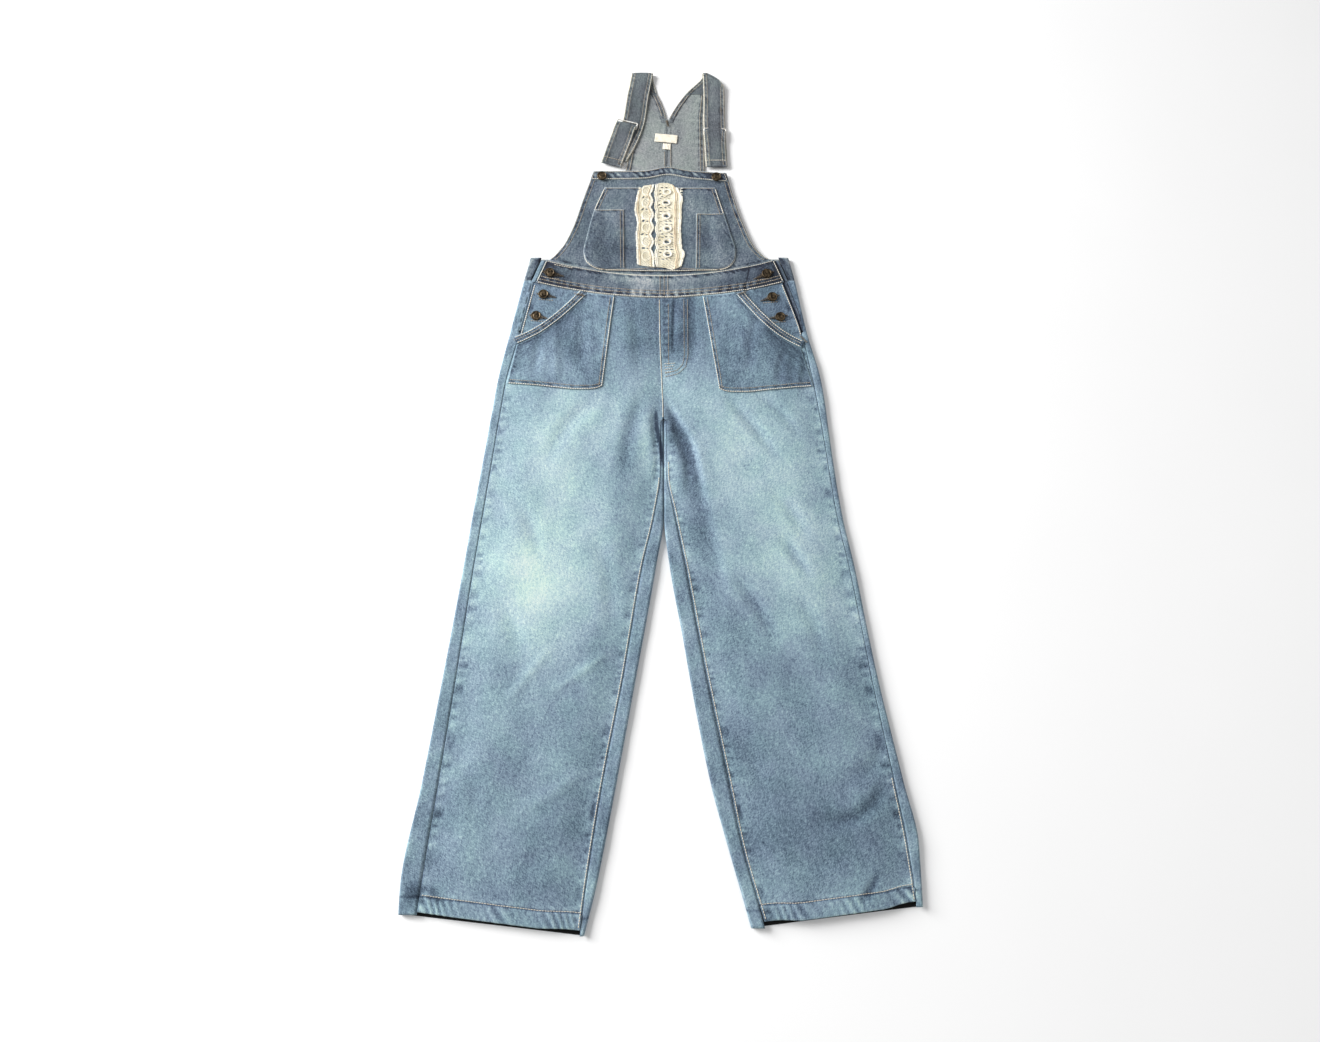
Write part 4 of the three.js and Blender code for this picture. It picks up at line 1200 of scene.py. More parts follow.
@dataclass
class Leg:
    """Front and back of one leg with its half of the hips."""

    side: Side
    rows: int = 252
    cols: int = 80
    hem_pitch: float = 12.5
    hip_rows: tuple[tuple[float, float], ...] = (
        (756, 756), (765, 765), (797, 797), (830, 830), (868, 873), (904, 915), (942, 961), (979, 1009),
    )

    @property
    def table(self) -> dict[str, Profile]:
        """The leg's outline curves."""
        return LEG[self.side]

    @property
    def foot(self) -> float:
        """Y of the back hem's inner corner."""
        return LEG_TABLES[self.side].foot

    def outer_y(self, y: Array) -> Array:
        """Y at the outer end of the row whose inner end lies at y: the hem's slant, then the waist's rise.

        Args:
            y: at the inner end.

        Returns:
            Y at the outer end.
        """
        low = y + CUT.hem_rise * np.maximum(0.0, 1.0 - (y - self.foot) / CUT.hem_fade)
        ys, outs = zip(*self.hip_rows)
        return np.where(y < CUT.crotch_y, low, np.interp(y, ys, outs))

    def front_plan(self, u: Array, y: Array) -> tuple[Array, Array]:
        """Plan of the front at u from inseam to outseam, on the row whose inner end lies at y.

        Args:
            u: from 0 to 1.
            y: at the inner end.

        Returns:
            X and Y.
        """
        out = self.outer_y(y)
        x = blend(self.table["inseam"](y), self.table["outseam"](out), u)
        bend = np.where(y > CUT.crotch_y, u * u, u)
        return x, blend(y, out, bend)

    def shade(self, x: Array, y: Array, y_hem: Array) -> tuple[Array, Array]:
        """Height and tone of puckers by the seams, the hem and the roping above the hem's edge.

        Args:
            x: plan, in millimetres.
            y: plan, in millimetres.
            y_hem: distance up from the hem's edge.

        Returns:
            What the puckers add to the height, and to the tone.
        """
        sign = self.side.value
        out_away = (self.table["outseam"](y) - x) * sign
        in_away = (x - self.table["inseam"](y)) * sign
        below = smooth(CUT.crotch_y + 6.0, CUT.crotch_y - 30.0, y)
        out_dent, out_worn = notches(y, np.maximum(out_away, 0.0), 21.0, 2.6, 15.0)
        in_dent, in_worn = notches(y + 9.0, np.maximum(in_away, 0.0), 14.0, 4.4, 14.0)
        dent = out_dent + in_dent * below
        worn = out_worn + in_worn * below
        swing = 2.4 * np.sin(x / 23.0) + 1.5 * np.sin(x / 9.7 + 0.5)
        band = smooth(CUT.hem_depth + 1.0, CUT.hem_depth - 3.0, y_hem)
        twist = x + 0.5 * y_hem
        rope = np.sin(2 * np.pi * twist / self.hem_pitch + swing) * (0.6 + 0.4 * np.sin(x / 13.0)) * band
        line = bell(y_hem - CUT.hem_depth, 1.5)
        rim = bell(y_hem, 2.0)
        above = bell(y_hem - CUT.hem_depth - 4.5, 2.6) * (0.7 + 0.3 * np.sin(x / 3.1))
        tone = -0.28 * dent + 0.17 * worn + 0.19 * rope - 0.3 * line + 0.18 * rim + 0.12 * above + 0.03 * band
        tone = tone - 0.38 * bell(out_away, 1.0) * smooth(-0.2, 0.2, out_away)
        tone = tone - 0.2 * bell(in_away, 1.2) * below
        tone = tone + 0.13 * bell(out_away + 2.2, 1.2) + 0.1 * bell(in_away + 2.6, 1.6) * below
        return 0.3 * worn - 0.6 * dent + 0.7 * rope - 0.8 * line, tone

    def front(self) -> Surface:
        """The front panel, with its turned-up hem.

        Returns:
            The panel's surface.
        """
        start = self.foot + CUT.hem_short
        u = spaced(self.cols, 0.55)[None, :]
        low = start + CUT.hem_depth + 6.0
        hem_y, leg_y = np.linspace(start, low, 30)[:-1], np.linspace(low, CUT.hip_y, self.rows)
        y = np.concatenate([hem_y, leg_y])[:, None]
        x, py = self.front_plan(u, y)
        py = np.where(y == CUT.hip_y, CUT.waist_y(x) - CUT.seam, py)
        up = np.broadcast_to(y - start, x.shape)
        raised = smooth(0.28, 0.06, u) * (4.5 if self.side is Side.RIGHT else 3.2)
        raised = raised + 4.0 * smooth(0.78, 0.95, u) * (self.side is Side.RIGHT)
        py = py + raised * smooth(46.0, 0.0, up)
        bump, tone = self.shade(x, py, up)
        bump = bump + 2.2 * self.fly(x, py)
        hem = 0.8 * smooth(CUT.hem_depth + 1.5, CUT.hem_depth - 0.5, up) * smooth(-0.1, 2.0, up)
        z = front_height(x, py) + bump + hem
        crease = folds(x, py)
        # Painted shade and light: fold troughs darker and ridges lighter, plus the painted shade of SHADES.
        painted_light_and_tone = np.clip(crease, -5, 3) * 0.03 + shades(x, py)
        washed = 0.4 * wash(x, py) + 0.03 * smooth(360, 480, py) - 0.03 * smooth(300, 120, py)
        # A darker patch at the right hem's inner corner, and darker towards the waist above y 820.
        dark_corner_patch = np.exp(-(((x - 146) / 9) ** 2) - ((py - 28) / 16) ** 2) * (self.side is Side.RIGHT)
        painted_light_and_tone = painted_light_and_tone - 0.24 * dark_corner_patch - 0.17 * smooth(820.0, 920.0, py) + self.fly(x, py)
        painted_light_and_tone = painted_light_and_tone - 0.05 * smooth(400.0, 260.0, py) * smooth(40.0, 110.0, py) * (self.side is Side.RIGHT)
        piece = Piece.cloth(f"front_leg_{self.side.word}", "leg_denim", Finish.LEG, Finish.INSIDE)
        grid = np.stack([x, py, z], -1)
        return Cloth.panel(piece, grid, CUT.denim, wear=tone + painted_light_and_tone, washed=washed)

    def fly(self, x: Array, y: Array) -> Array:
        """Tone of the mock fly by the centre seam: a ladder of puckers, and painted shade in a crease, on the
        strip beside the seam, on the facing and along the left front's edge above the crotch.

        Args:
            x: plan, in millimetres.
            y: plan, in millimetres.

        Returns:
            What it adds to the tone.
        """
        if self.side is Side.LEFT:
            above = smooth(CUT.crotch_y + 20, CUT.crotch_y + 60, y)
            return -0.08 * bell(x - self.table["inseam"](y) + 5.0, 3.0) * above
        high = smooth(856.0, 872.0, y)
        ladder = np.sin(2 * np.pi * y / 11.5 + 0.8 * np.sin(y / 17.0)) * bell(x - 10.5, 5.0)
        crease = bell(x - 22.0 - 1.5 * np.sin(y / 30.0), 2.2) * smooth(866.0, 884.0, y)
        facing = bell(x - 48.0, 7.0) * smooth(892.0, 912.0, y)
        strip = smooth(4.0, 7.0, x) * smooth(19.0, 15.0, x)
        shaded = smooth(17.0, 24.0, x) * smooth(60.0, 52.0, x) * smooth(852.0, 880.0, y)
        return high * (0.13 * ladder - 0.12 * strip) - 0.2 * crease - 0.08 * facing - 0.06 * shaded

    def back(self) -> None:
        """The back panel, which turns up round both sides of the leg."""
        sign = float(self.side.value)
        y = np.concatenate([
            np.linspace(self.foot, CUT.crotch_y - CUT.crotch_roll, 230),
            np.linspace(CUT.crotch_y - 2, CUT.crotch_y + CUT.crotch_roll, 12),
            np.linspace(775, CUT.back_band_y - CUT.seam, 76),
        ])[:, None]
        out = np.where(y < CUT.crotch_y, self.outer_y(y), y)
        t = np.linspace(0.0, 1.0, 22)[None, :]
        curl = smooth(CUT.crotch_y + CUT.crotch_roll, CUT.crotch_y + 2.0, y)
        outer, inner = self.table["outer"](out), self.table["inner"](np.minimum(y, out))
        room = np.abs(outer - self.table["outseam"](out)) - CUT.leg_loft / 2 - 2.0
        margin = 8.0 if self.side is Side.RIGHT else 3.6
        show = np.minimum(margin, room) * smooth(CUT.split_y - 2, CUT.split_y + 3, out)
        end_out = self.table["outseam"](out) + sign * (show + CUT.seam)
        ax, az = turned_half(outer, end_out, np.ones_like(y), -sign, t)
        bx, bz = turned_half(inner, self.table["inseam"](y) - sign * CUT.seam, curl, sign, t)
        floor_t = np.linspace(0.0, 1.0, 26)[None, 1:-1]
        fx = blend(ax[:, -1:], bx[:, -1:], floor_t)
        x = np.concatenate([ax, fx, bx[:, ::-1]], axis=1)
        z = np.concatenate([az, np.zeros_like(fx), bz[:, ::-1]], axis=1)
        side_y = np.concatenate([out.repeat(22, 1), blend(out, y, floor_t), y.repeat(22, 1)], axis=1)
        on_top = smooth(0.5, 1.0, z / CUT.leg_loft)
        bump, tone = self.shade(x, side_y, side_y - side_y[:1])
        edge = np.where(np.abs(x - self.table["outseam"](side_y)) < np.abs(x - self.table["inseam"](side_y)),
                        np.abs(x - outer), np.abs(x - inner))
        along = puckers(side_y + 5.0, np.maximum(edge - 3.0, 0.0), 60.0, 9.0)
        z = z + on_top * (bump * 0.5 + 0.3 * along)
        # Painted shade: the inner face darkens towards the hem's edge, inside the leg's opening.
        gap = -0.9 * smooth(12.0, 3.0, side_y - side_y[:1]) * (1.0 - on_top)
        piece = Piece.cloth(f"back_leg_{self.side.word}", "leg_denim", Finish.LEG, Finish.INSIDE)
        opening = smooth(CUT.split_y - 4, CUT.split_y + 6, side_y)
        # Painted shade: darker along the side opening, where the gap beside the front's edge lies in shadow;
        # more on the right.
        slit = (-0.1 * sign - 0.12) * opening * bell(np.abs(x - end_out), 4.0) * on_top
        tone = tone * 0.6 + 0.1 * along * on_top - 0.03 + slit + shades(x, side_y) + 0.2 * wash(x, side_y)
        Cloth.panel(piece, np.stack([x, side_y, z], -1), CUT.denim, Facing.DOWN, wear=tone, lining=gap)

    def stitches(self, front: Surface, rows: SeamStitches) -> None:
        """The hem's row, the row beside the inseam and the row beside the side opening.

        Args:
            front: the front panel.
            rows: the stitches that these join.
        """
        rows.row(front.inset(Edge.FOOT, CUT.hem_depth, 2, 2), width=1.0)
        inner, outer = (Edge.LEFT, Edge.RIGHT)
        inside = front.inset(inner, 2.6, 3, 3)
        rows.row(inside[inside[:, 1] < (664 if self.side is Side.LEFT else 690)], width=1.5)
        if self.side is Side.RIGHT:
            low = front.inset(outer, 3.0, 2, 3)
            rows.row(low[low[:, 1] < 210])
        else:
            centre = front.inset(inner, 1.2, 3, 1)
            rows.row(centre[centre[:, 1] > CUT.crotch_y + 8], 3.4, 3.4, 1.6)
        whole = front.inset(outer, 2.2, 3, 3)
        rows.row(whole[whole[:, 1] > CUT.split_y - 8], width=1.7)


def sewn_edge(border: Array, x: Array, y: Array, pitch: float = 17.0) -> tuple[Array, Array]:
    """Relief and tone of a turned and stitched edge.

    A rounded edge, a groove at the stitches 3 mm inside it and puckers that fade further in; the rim is worn
    pale and the groove stays dark.

    Args:
        border: distance from the edge, in millimetres.
        x: plan, in millimetres.
        y: plan, in millimetres.
        pitch: length of one pucker.

    Returns:
        What it adds to the height, in millimetres, and to the tone.
    """
    dent, worn = notches(x * 0.83 + y * 0.97, border, pitch * 0.55, 3.2, 8.5)
    bump = 0.25 * worn - 0.45 * dent - 0.3 * bell(border - 3.0, 1.5) - 0.5 * bell(border, 0.8)
    tone = 0.12 * worn - 0.26 * dent - 0.1 * bell(border - 4.4, 2.0) + 0.24 * bell(border - 0.5, 1.3)
    return bump, tone


@dataclass
class Pocket:
    """Patch pocket on one hip and the band along its slanting mouth."""

    side: Side
    foot: float
    top_in: float
    foot_in: float
    mouth_in: float
    mouth_y: float
    mouth_out: float
    low_y: float
    sag: float
    split: float = 0.3
    rows: int = 90
    lift: float = 1.5

    def mouth(self, t: Array) -> tuple[Array, Array]:
        """The mouth's lower edge at t: a curve that hangs a little below the straight line.

        Args:
            t: from 0 to 1.

        Returns:
            X and Y.
        """
        y = blend(self.mouth_y, self.low_y, t) - self.sag * np.sin(np.pi * t)
        return blend(self.mouth_in, self.mouth_out, t), y

    def patch(self) -> Surface:
        """The pocket's patch: straight at its inner top, then cut away along the mouth.

        Returns:
            The patch's surface.
        """
        sign = self.side.value
        u, v = unit_grid(96, self.rows)
        foot_out = float(LEG[self.side]["outseam"](self.foot)) - sign * 3
        w = np.where(u < self.split, u / self.split, (u - self.split) / (1 - self.split))
        top_x = blend(self.top_in, self.mouth_in, w)
        mx, my = self.mouth(w)
        inner = u < self.split
        tx = np.where(inner, top_x, mx)
        ty = np.where(inner, CUT.waist_y(top_x) - 2 * CUT.seam, my)
        share = np.where(inner, self.split * w, self.split + (1 - self.split) * w)
        fx = blend(self.foot_in, foot_out, share)
        fy = np.where(inner, self.foot + 7.0 * (1 - w) ** 6, self.foot + 12.0 * w)
        x, y = blend(fx, tx, v), blend(fy, ty, v)
        plain = np.stack([x, y, np.zeros_like(x)], -1)
        border = Surface(plain).border()
        bump, tone = sewn_edge(border, x, y)
        sag = 1.1 * np.sin((x - fx) / 15.0 + y / 90.0) * bell(v - 0.35, 0.45)
        z = front_height(x, y) + self.lift + bump + sag * smooth(2.0, 16.0, border)
        # Painted shade and light from the folds, and painted shade just below the slanting mouth.
        tone = tone + 0.016 * folds(x, y) - 0.09 * bell(y - (my - 5), 16.0) * ~inner
        piece = Piece.cloth(f"pocket_{self.side.word}", "pocket_denim", Finish.HIP, Finish.INSIDE)
        grid = np.stack([x, y, z], -1)
        return Cloth.panel(piece, grid, CUT.denim, wear=tone, washed=0.12 * wash(x, y),
                    rests_on=(f"cloth_front_leg_{self.side.word}",))

    def band(self) -> Surface:
        """The band along the mouth.

        Returns:
            The band's surface.
        """
        sign = self.side.value
        u, v = unit_grid(120, 14)
        mx, my = self.mouth(u)
        mx2, my2 = self.mouth(u + 0.01)
        run = np.hypot(mx2 - mx, my2 - my)
        nx, ny = -(my2 - my) / run * sign, (mx2 - mx) / run * sign
        reach = CUT.seam + v * CUT.pocket_band
        x, y = mx + nx * reach, my + ny * reach
        y = np.minimum(y, CUT.waist_y(x) - 2 * CUT.seam)
        border = np.minimum(v, 1 - v) * CUT.pocket_band
        bump, tone = sewn_edge(border, x, y, 15.0)
        z = front_height(x, y) + self.lift + 0.7 + bump + 0.5 * np.sin(np.pi * v)
        piece = Piece.cloth(f"pocket_band_{self.side.word}", "pocket_denim", Finish.HIP, Finish.INSIDE)
        grid = np.stack([x, y, z], -1)
        return Cloth.panel(piece, grid, CUT.denim, wear=tone - 0.03,
                           rests_on=(f"cloth_front_leg_{self.side.word}",))


@dataclass
class Waist:
    """Front and back waistbands and the strips behind the side openings."""

    front_end: tuple[float, float] = (210.0, 194.0)
    underlap_show: float = 8.0

    def end(self, sign: float, t: Array) -> tuple[Array, Array]:
        """An end of the front waistband: a line that leans inward from its lower to its upper corner.

        Args:
            sign: -1 left, 1 right.
            t: from 0 to 1.

        Returns:
            X and Y.
        """
        low, high = self.front_end
        return sign * blend(low, high, t), CUT.waist_y(low) + t * CUT.waistband_depth

    def front(self) -> Surface:
        """The front waistband, which follows the arc of the waist.

        Returns:
            The band's surface.
        """
        u, v = unit_grid(260, 34)
        left, right = self.end(-1, v)[0], self.end(1, v)[0]
        x = blend(left, right, u)
        y = CUT.waist_y(x * (self.front_end[0] / right)) + v * CUT.waistband_depth
        border = np.minimum(np.minimum(v, 1 - v) * CUT.waistband_depth, np.minimum(x - left, right - x))
        bump, tone = sewn_edge(border, x, y, 19.0)
        wave = puckers(x, np.abs(v * CUT.waistband_depth - 7), 13.0, 7.0)
        join = bell(x - blend(143.0, 153.0, v), 1.5)
        z = front_height(x, y) + 0.9 + bump + 0.3 * wave - 0.6 * join
        tone = 2.0 * tone + 0.3 * wave - 0.3 * join + 0.1 * ripple(x * 2, y * 2)
        tone = tone + 0.06 - 0.34 * smooth(50.0, 150.0, np.abs(x))
        tone = tone + 0.1 * bell(v * CUT.waistband_depth - 32, 8.0)
        piece = Piece.cloth("waistband_front", "bib_denim", Finish.BIB, Finish.INSIDE)
        grid = np.stack([x, y, z], -1)
        return Cloth.panel(piece, grid, 1.6, wear=tone)

    def back(self) -> None:
        """The back waistband, which turns up at both ends."""
        v = np.linspace(0.0, 1.0, 20)[:, None]
        y = CUT.back_band_y + v * CUT.back_band_depth
        t = np.clip((y - CUT.back_band_y) / CUT.waistband_depth, 0, 1)
        halves = {}
        for side in Side:
            sign = side.value
            x = float(LEG[side]["outer"](CUT.back_band_y)) - sign * 0.21 * (y - CUT.back_band_y)
            end = self.end(sign, t)[0] + sign * (self.underlap_show + CUT.seam)
            halves[side] = turned_half(x, end, np.ones_like(x), -sign, np.linspace(0, 1, 22)[None, :])
        (ax, az), (bx, bz) = halves[Side.LEFT], halves[Side.RIGHT]
        across = np.linspace(0.0, 1.0, 122)[None, 1:-1]
        x = np.concatenate([ax, blend(ax[:, -1:], bx[:, -1:], across), bx[:, ::-1]], axis=1)
        z = np.concatenate([az, np.zeros((len(v), 120)), bz[:, ::-1]], axis=1)
        yy = np.broadcast_to(y, x.shape)
        bump, tone = sewn_edge(np.minimum(v, 1 - v) * CUT.back_band_depth + 0 * x, x, yy, 19.0)
        on_top = smooth(3.0, 6.0, z)
        z = z + bump * on_top
        upper = smooth(CUT.back_band_y + 20, CUT.back_band_y + 34, yy)
        corner = np.sin((np.abs(x) * 0.8 + yy * 0.6) / 2.6) * upper
        gap = np.minimum(np.abs(x - halves[Side.LEFT][0][:, :1]), np.abs(x - halves[Side.RIGHT][0][:, :1]))
        # Painted shadow: darker at the ends of the turned margins, in the gap beside the front waistband's
        # ends.
        tone = tone + on_top * (0.2 * corner - 0.24 * bell(gap, 4.0))
        piece = Piece.cloth("waistband_back", "bib_denim", Finish.BIB, Finish.INSIDE)
        Cloth.panel(piece, np.stack([x, yy, z], -1), 1.6, Facing.DOWN, wear=tone)

    def underlap(self, side: Side) -> None:
        """The strip behind one side opening: it shows beside the front's edge and runs on beneath it.

        Args:
            side: of the opening.
        """
        sign = float(side.value)
        u, v = unit_grid(20, 70)
        y = blend(CUT.split_y + 3, CUT.back_band_y + CUT.back_band_depth - 6, v)
        low = CUT.waist_y(self.front_end[0])
        t = np.clip((y - low) / CUT.waistband_depth, 0, 1)
        edge = np.where(y > low, self.end(sign, t)[0], LEG[side]["outseam"](y))
        leg_y = np.minimum(y, CUT.back_band_y)
        margin = np.abs(LEG[side]["outer"](leg_y) - LEG[side]["outseam"](leg_y))
        show = np.minimum(self.underlap_show, margin - CUT.leg_loft / 2 - 2) - CUT.seam
        out = blend(show, np.full_like(show, -16.0), u)
        x = edge + sign * out
        below = CUT.loft(y) - 3.4
        rise = smooth(0.3, 1.4 if side is Side.LEFT else 4.5, out)
        z = blend(below, np.full_like(below, CUT.leg_loft - 0.1), rise)
        z = z + 0.4 * puckers(y, np.abs(out - 5), 21.0, 6.0) * smooth(0.0, 3.0, out)
        depth, finish = (0.0, Finish.LEG) if side is Side.LEFT else (0.5, Finish.BIB)
        # Painted shade: on the right the strip darkens towards the front's edge, where the opening is a dark
        # gap; the left gets none.
        tone = -depth * smooth(6.5, 0.0, out) - 0.03
        piece = Piece.cloth(f"underlap_{side.word}", "bib_denim", finish)
        Cloth.panel(piece, np.stack([x, y + 0 * x, z], -1), 0.9, wear=tone + 0 * x)


def turned_half(side_x: Array, end: Array, curl: Array, inward: float, t: Array) -> tuple[Array, Array]:
    """One half of a back panel's section at each row, from its upper end at t = 0 to the floor at t = 1.

    The first fifth of t runs along the level margin, or along a short lip where the side is unrolled. The
    rest is the turn: a level stretch as long as what is unrolled, then an arc of pi * curl.

    Args:
        side_x: X of the silhouette.
        end: X where the margin ends.
        curl: 1 where the side turns right over, 0 where it lies flat.
        inward: direction in X from the side to the middle.
        t: places along the half.

    Returns:
        X and Z of the outer face.
    """
    radius = CUT.leg_loft / 2
    length = math.pi * radius
    last = math.pi * curl
    level = (1.0 - curl) * length
    reach = np.where(curl >= 0.5, radius, radius * np.sin(last))
    start = side_x + inward * (level + reach)
    s = length * (1.0 - np.clip((t - 0.2) / 0.8, 0.0, 1.0))
    angle = np.maximum(0.0, s - level) / radius
    x = start - inward * (np.minimum(s, level) + radius * np.sin(angle))
    z = radius * (1.0 - np.cos(angle))
    margin = np.clip(1.0 - t / 0.2, 0.0, 1.0)
    over = smooth(0.7, 1.0, curl)
    lip_x, lip_z = -inward * np.cos(last) * 0.6, np.sin(last) * 0.6
    x = x + margin * blend(lip_x, end - start, over)
    z = z + margin * blend(lip_z, np.zeros_like(curl), over)
    return x, z


@dataclass
class Bib:
    """The bib with its top band and its patch pockets."""

    edge_rows: tuple[tuple[float, float, float], ...] = (
        (1020, -203, 203), (1054, -190, 190), (1067, -180, 176), (1090, -165, 160),
        (1126, -150, 146), (1179, -134, 129), (1227, -118, 117),
    )
    pocket_rows: tuple[tuple[float, float, float], ...] = (
        (1031, -94, 99), (1034, -108, 112), (1041, -120, 122), (1051, -128, 128),
        (1067, -131, 130), (1098, -126, 123), (1147, -115, 110), (1195, -97, 97),
    )
    inner_pocket: tuple[float, float] = (-62.0, 62.5)
    patch_lift: float = 1.4

    def sides(self, rows: tuple[tuple[float, float, float], ...]) -> tuple[Profile, Profile]:
        """Left and right edge of an outline."""
        return Profile([(r[0], r[1]) for r in rows]), Profile([(r[0], r[2]) for r in rows])

    def panel(self) -> Surface:
        """The bib's panel.

        Returns:
            The panel's surface.
        """
        left, right = self.sides(self.edge_rows)
        u, v = unit_grid(110, 90)
        ends = {}
        for sign, edge in ((-1, left), (1, right)):
            foot, top = CUT.bib_foot(float(edge(1020.0))), float(CUT.bib_top(np.array(sign * 100.0)))
            ends[sign] = edge(blend(foot, top, v))
        x = blend(ends[-1], ends[1], u)
        y = blend(CUT.bib_foot(x), CUT.bib_top(x), v)
        grid = np.stack([x, y, np.zeros_like(x)], -1)
        border = Surface(grid).border()
        bump, tone = sewn_edge(border, x, y, 18.0)
        grid[..., 2] = front_height(x, y) + bump
        # Painted shade and light: fold troughs a little darker, ridges lighter.
        tone = 1.5 * tone + 0.03 * folds(x, y) - 0.03
        return Cloth.panel(Piece.cloth("bib", "bib_denim", Finish.BIB, Finish.INSIDE), grid, 1.4, wear=tone)

    def band(self) -> Surface:
        """The band along the bib's upper edge.

        Returns:
            The band's surface.
        """
        u, v = unit_grid(170, 16)
        x0 = blend(-117.0, 115.0, u)
        x = x0 + (1 - v) * blend(-5.0, 5.0, u)
        y = CUT.bib_top(x0) - (1 - v) * CUT.bib_band
        border = np.minimum(v, 1 - v) * CUT.bib_band
        bump, tone = sewn_edge(border, x, y, 16.0)
        z = front_height(x, y) + 1.3 + bump + 0.25 * puckers(x, np.abs(border - 9), 21.0, 7.0)
        grid = np.stack([x, y, z], -1)
        piece = Piece("cloth_bib_band", "bib_denim", Finish.BIB, ("bib_top_band",))
        rope = np.sin(2 * np.pi * (x + 0.6 * y) / 11.0 + 2.6 * np.sin(x / 19.0)) * bell(border - 9.5, 5.0)
        rope = rope * (0.6 + 0.4 * np.sin(x / 7.3))
        return Cloth.panel(piece, grid, 1.2, wear=1.5 * tone + 0.34 * rope - 0.05, rests_on=("cloth_bib",))

    def pocket_height(self, x: Array, y: Array) -> Array:
        """Upper face of the bib pocket, before its sewn edges."""
        return front_height(x, y) + self.patch_lift

    def pocket(self) -> Surface:
        """The wide pocket on the bib, with rounded lower corners.

        Returns:
            The pocket's surface.
        """
        left, right = self.sides(self.pocket_rows)
        u, w = unit_grid(120, 96)
        y = blend(1031.0, 1195.0, w**1.35)
        x = blend(left(y), right(y), u)
        y = y + 0 * x - 2.2 * bell(u - 0.5, 0.3) * (1 - w)
        grid = np.stack([x, y, np.zeros_like(x)], -1)
        border = Surface(grid).border()
        bump, tone = sewn_edge(border, x, y, 16.0)
        grid[..., 2] = self.pocket_height(x, y) + bump
        # Painted shade and light: fold troughs a little darker, ridges lighter.
        tone = 1.6 * tone + 0.04 * folds(x, y) - 0.02
        piece = Piece.cloth("bib_pocket", "bib_denim", Finish.BIB, Finish.INSIDE)
        return Cloth.panel(piece, grid, CUT.denim, wear=tone, rests_on=("cloth_bib",))

    def side_pocket(self, side: Side) -> Surface:
        """A small pocket at one side of the bib pocket.

        Args:
            side: of the bib pocket.

        Returns:
            The pocket's surface.
        """
        left, right = self.sides(self.pocket_rows)
        edge, inner = (left, self.inner_pocket[0]) if side is Side.LEFT else (right, self.inner_pocket[1])
        sign = side.value
        u, w = unit_grid(44, 70)
        top = CUT.side_pocket_top + (3.0 if side is Side.LEFT else -5.0)
        y = blend(1032.5, top, w**1.25)
        x = blend(inner - sign * 2.5 * (1 - w) + 0 * y, edge(y - 1.5) - sign * 0.8, u)
        grid = np.stack([x, y + 0 * x, np.zeros_like(x)], -1)
        border = Surface(grid).border()
        bump, tone = sewn_edge(border, x, y, 15.0)
        sag = 0.9 * np.sin(x / 9.0 + y / 70.0) * smooth(3.0, 14.0, border)
        grid[..., 2] = self.pocket_height(x, y) + 1.2 + bump + sag * 0.6
        # Painted shade and light: lighter where the sag rises, darker where it falls.
        tone = tone + 0.05 * sag - 0.02
        piece = Piece.cloth(f"bib_side_pocket_{side.word}", "bib_denim", Finish.BIB, Finish.INSIDE)
        return Cloth.panel(piece, grid, CUT.denim, wear=tone, rests_on=("cloth_bib_pocket",))


class Yarn:
    """Round tubes along many short paths, joined into one mesh: crochet yarn or bent wire."""

    sides = 6

    def __init__(self, radius: float) -> None:
        """Starts with no path.

        Args:
            radius: of the yarn, in millimetres.
        """
        self.radius = radius
        self.points: list[Array] = []
        self.faces: list[Array] = []
        self.count = 0

    def run(self, path: Array, closed: bool = False, twist: float = 0.16, flat: float = 1.0) -> None:
        """A tube along a path: rings of the yarn's radius, which swells and narrows as a plied yarn does.

        Args:
            path: points of the yarn's middle, in millimetres.
            closed: whether the last point runs on to the first.
            twist: share of the radius that the plies add and take away.
            flat: height of the section over its width.
        """
        n, sides = len(path), self.sides
        ahead = np.roll(path, -1, axis=0) if closed else np.vstack([path[1:], 2 * path[-1] - path[-2]])
        behind = np.roll(path, 1, axis=0) if closed else np.vstack([2 * path[0] - path[1], path[:-1]])
        run = ahead - behind
        run = run / np.maximum(np.linalg.norm(run, axis=1, keepdims=True), 1e-9)
        side = np.cross(run, np.array([0.0, 0.0, 1.0]))
        side = side / np.maximum(np.linalg.norm(side, axis=1, keepdims=True), 1e-9)
        up = np.cross(side, run) * flat
        angle = np.arange(sides) * 2 * np.pi / sides
        swell = self.radius * (1.0 + twist * np.cos(np.arange(n) * 2.1))
        ring = side[:, None] * np.cos(angle)[None, :, None] + up[:, None] * np.sin(angle)[None, :, None]
        self.points.append((path[:, None] + ring * swell[:, None, None]).reshape(-1, 3))
        i = np.arange(n if closed else n - 1)[:, None]
        s = np.arange(sides)[None, :]
        j, t = (i + 1) % n, (s + 1) % sides
        quads = np.stack([i * sides + s, j * sides + s, j * sides + t, i * sides + t], -1).reshape(-1, 4)
        if not closed:
            first = np.array([[0, 1, 2, 3], [0, 3, 4, 5]])
            quads = np.concatenate([quads, first, first[:, ::-1] + (n - 1) * sides])
        self.faces.append(quads + self.count)
        self.count += n * sides

    def mesh(self, name: str) -> Object:
        """Joins all runs into one mesh object."""
        return Cloth.mesh(name, np.concatenate(self.points), np.concatenate(self.faces))


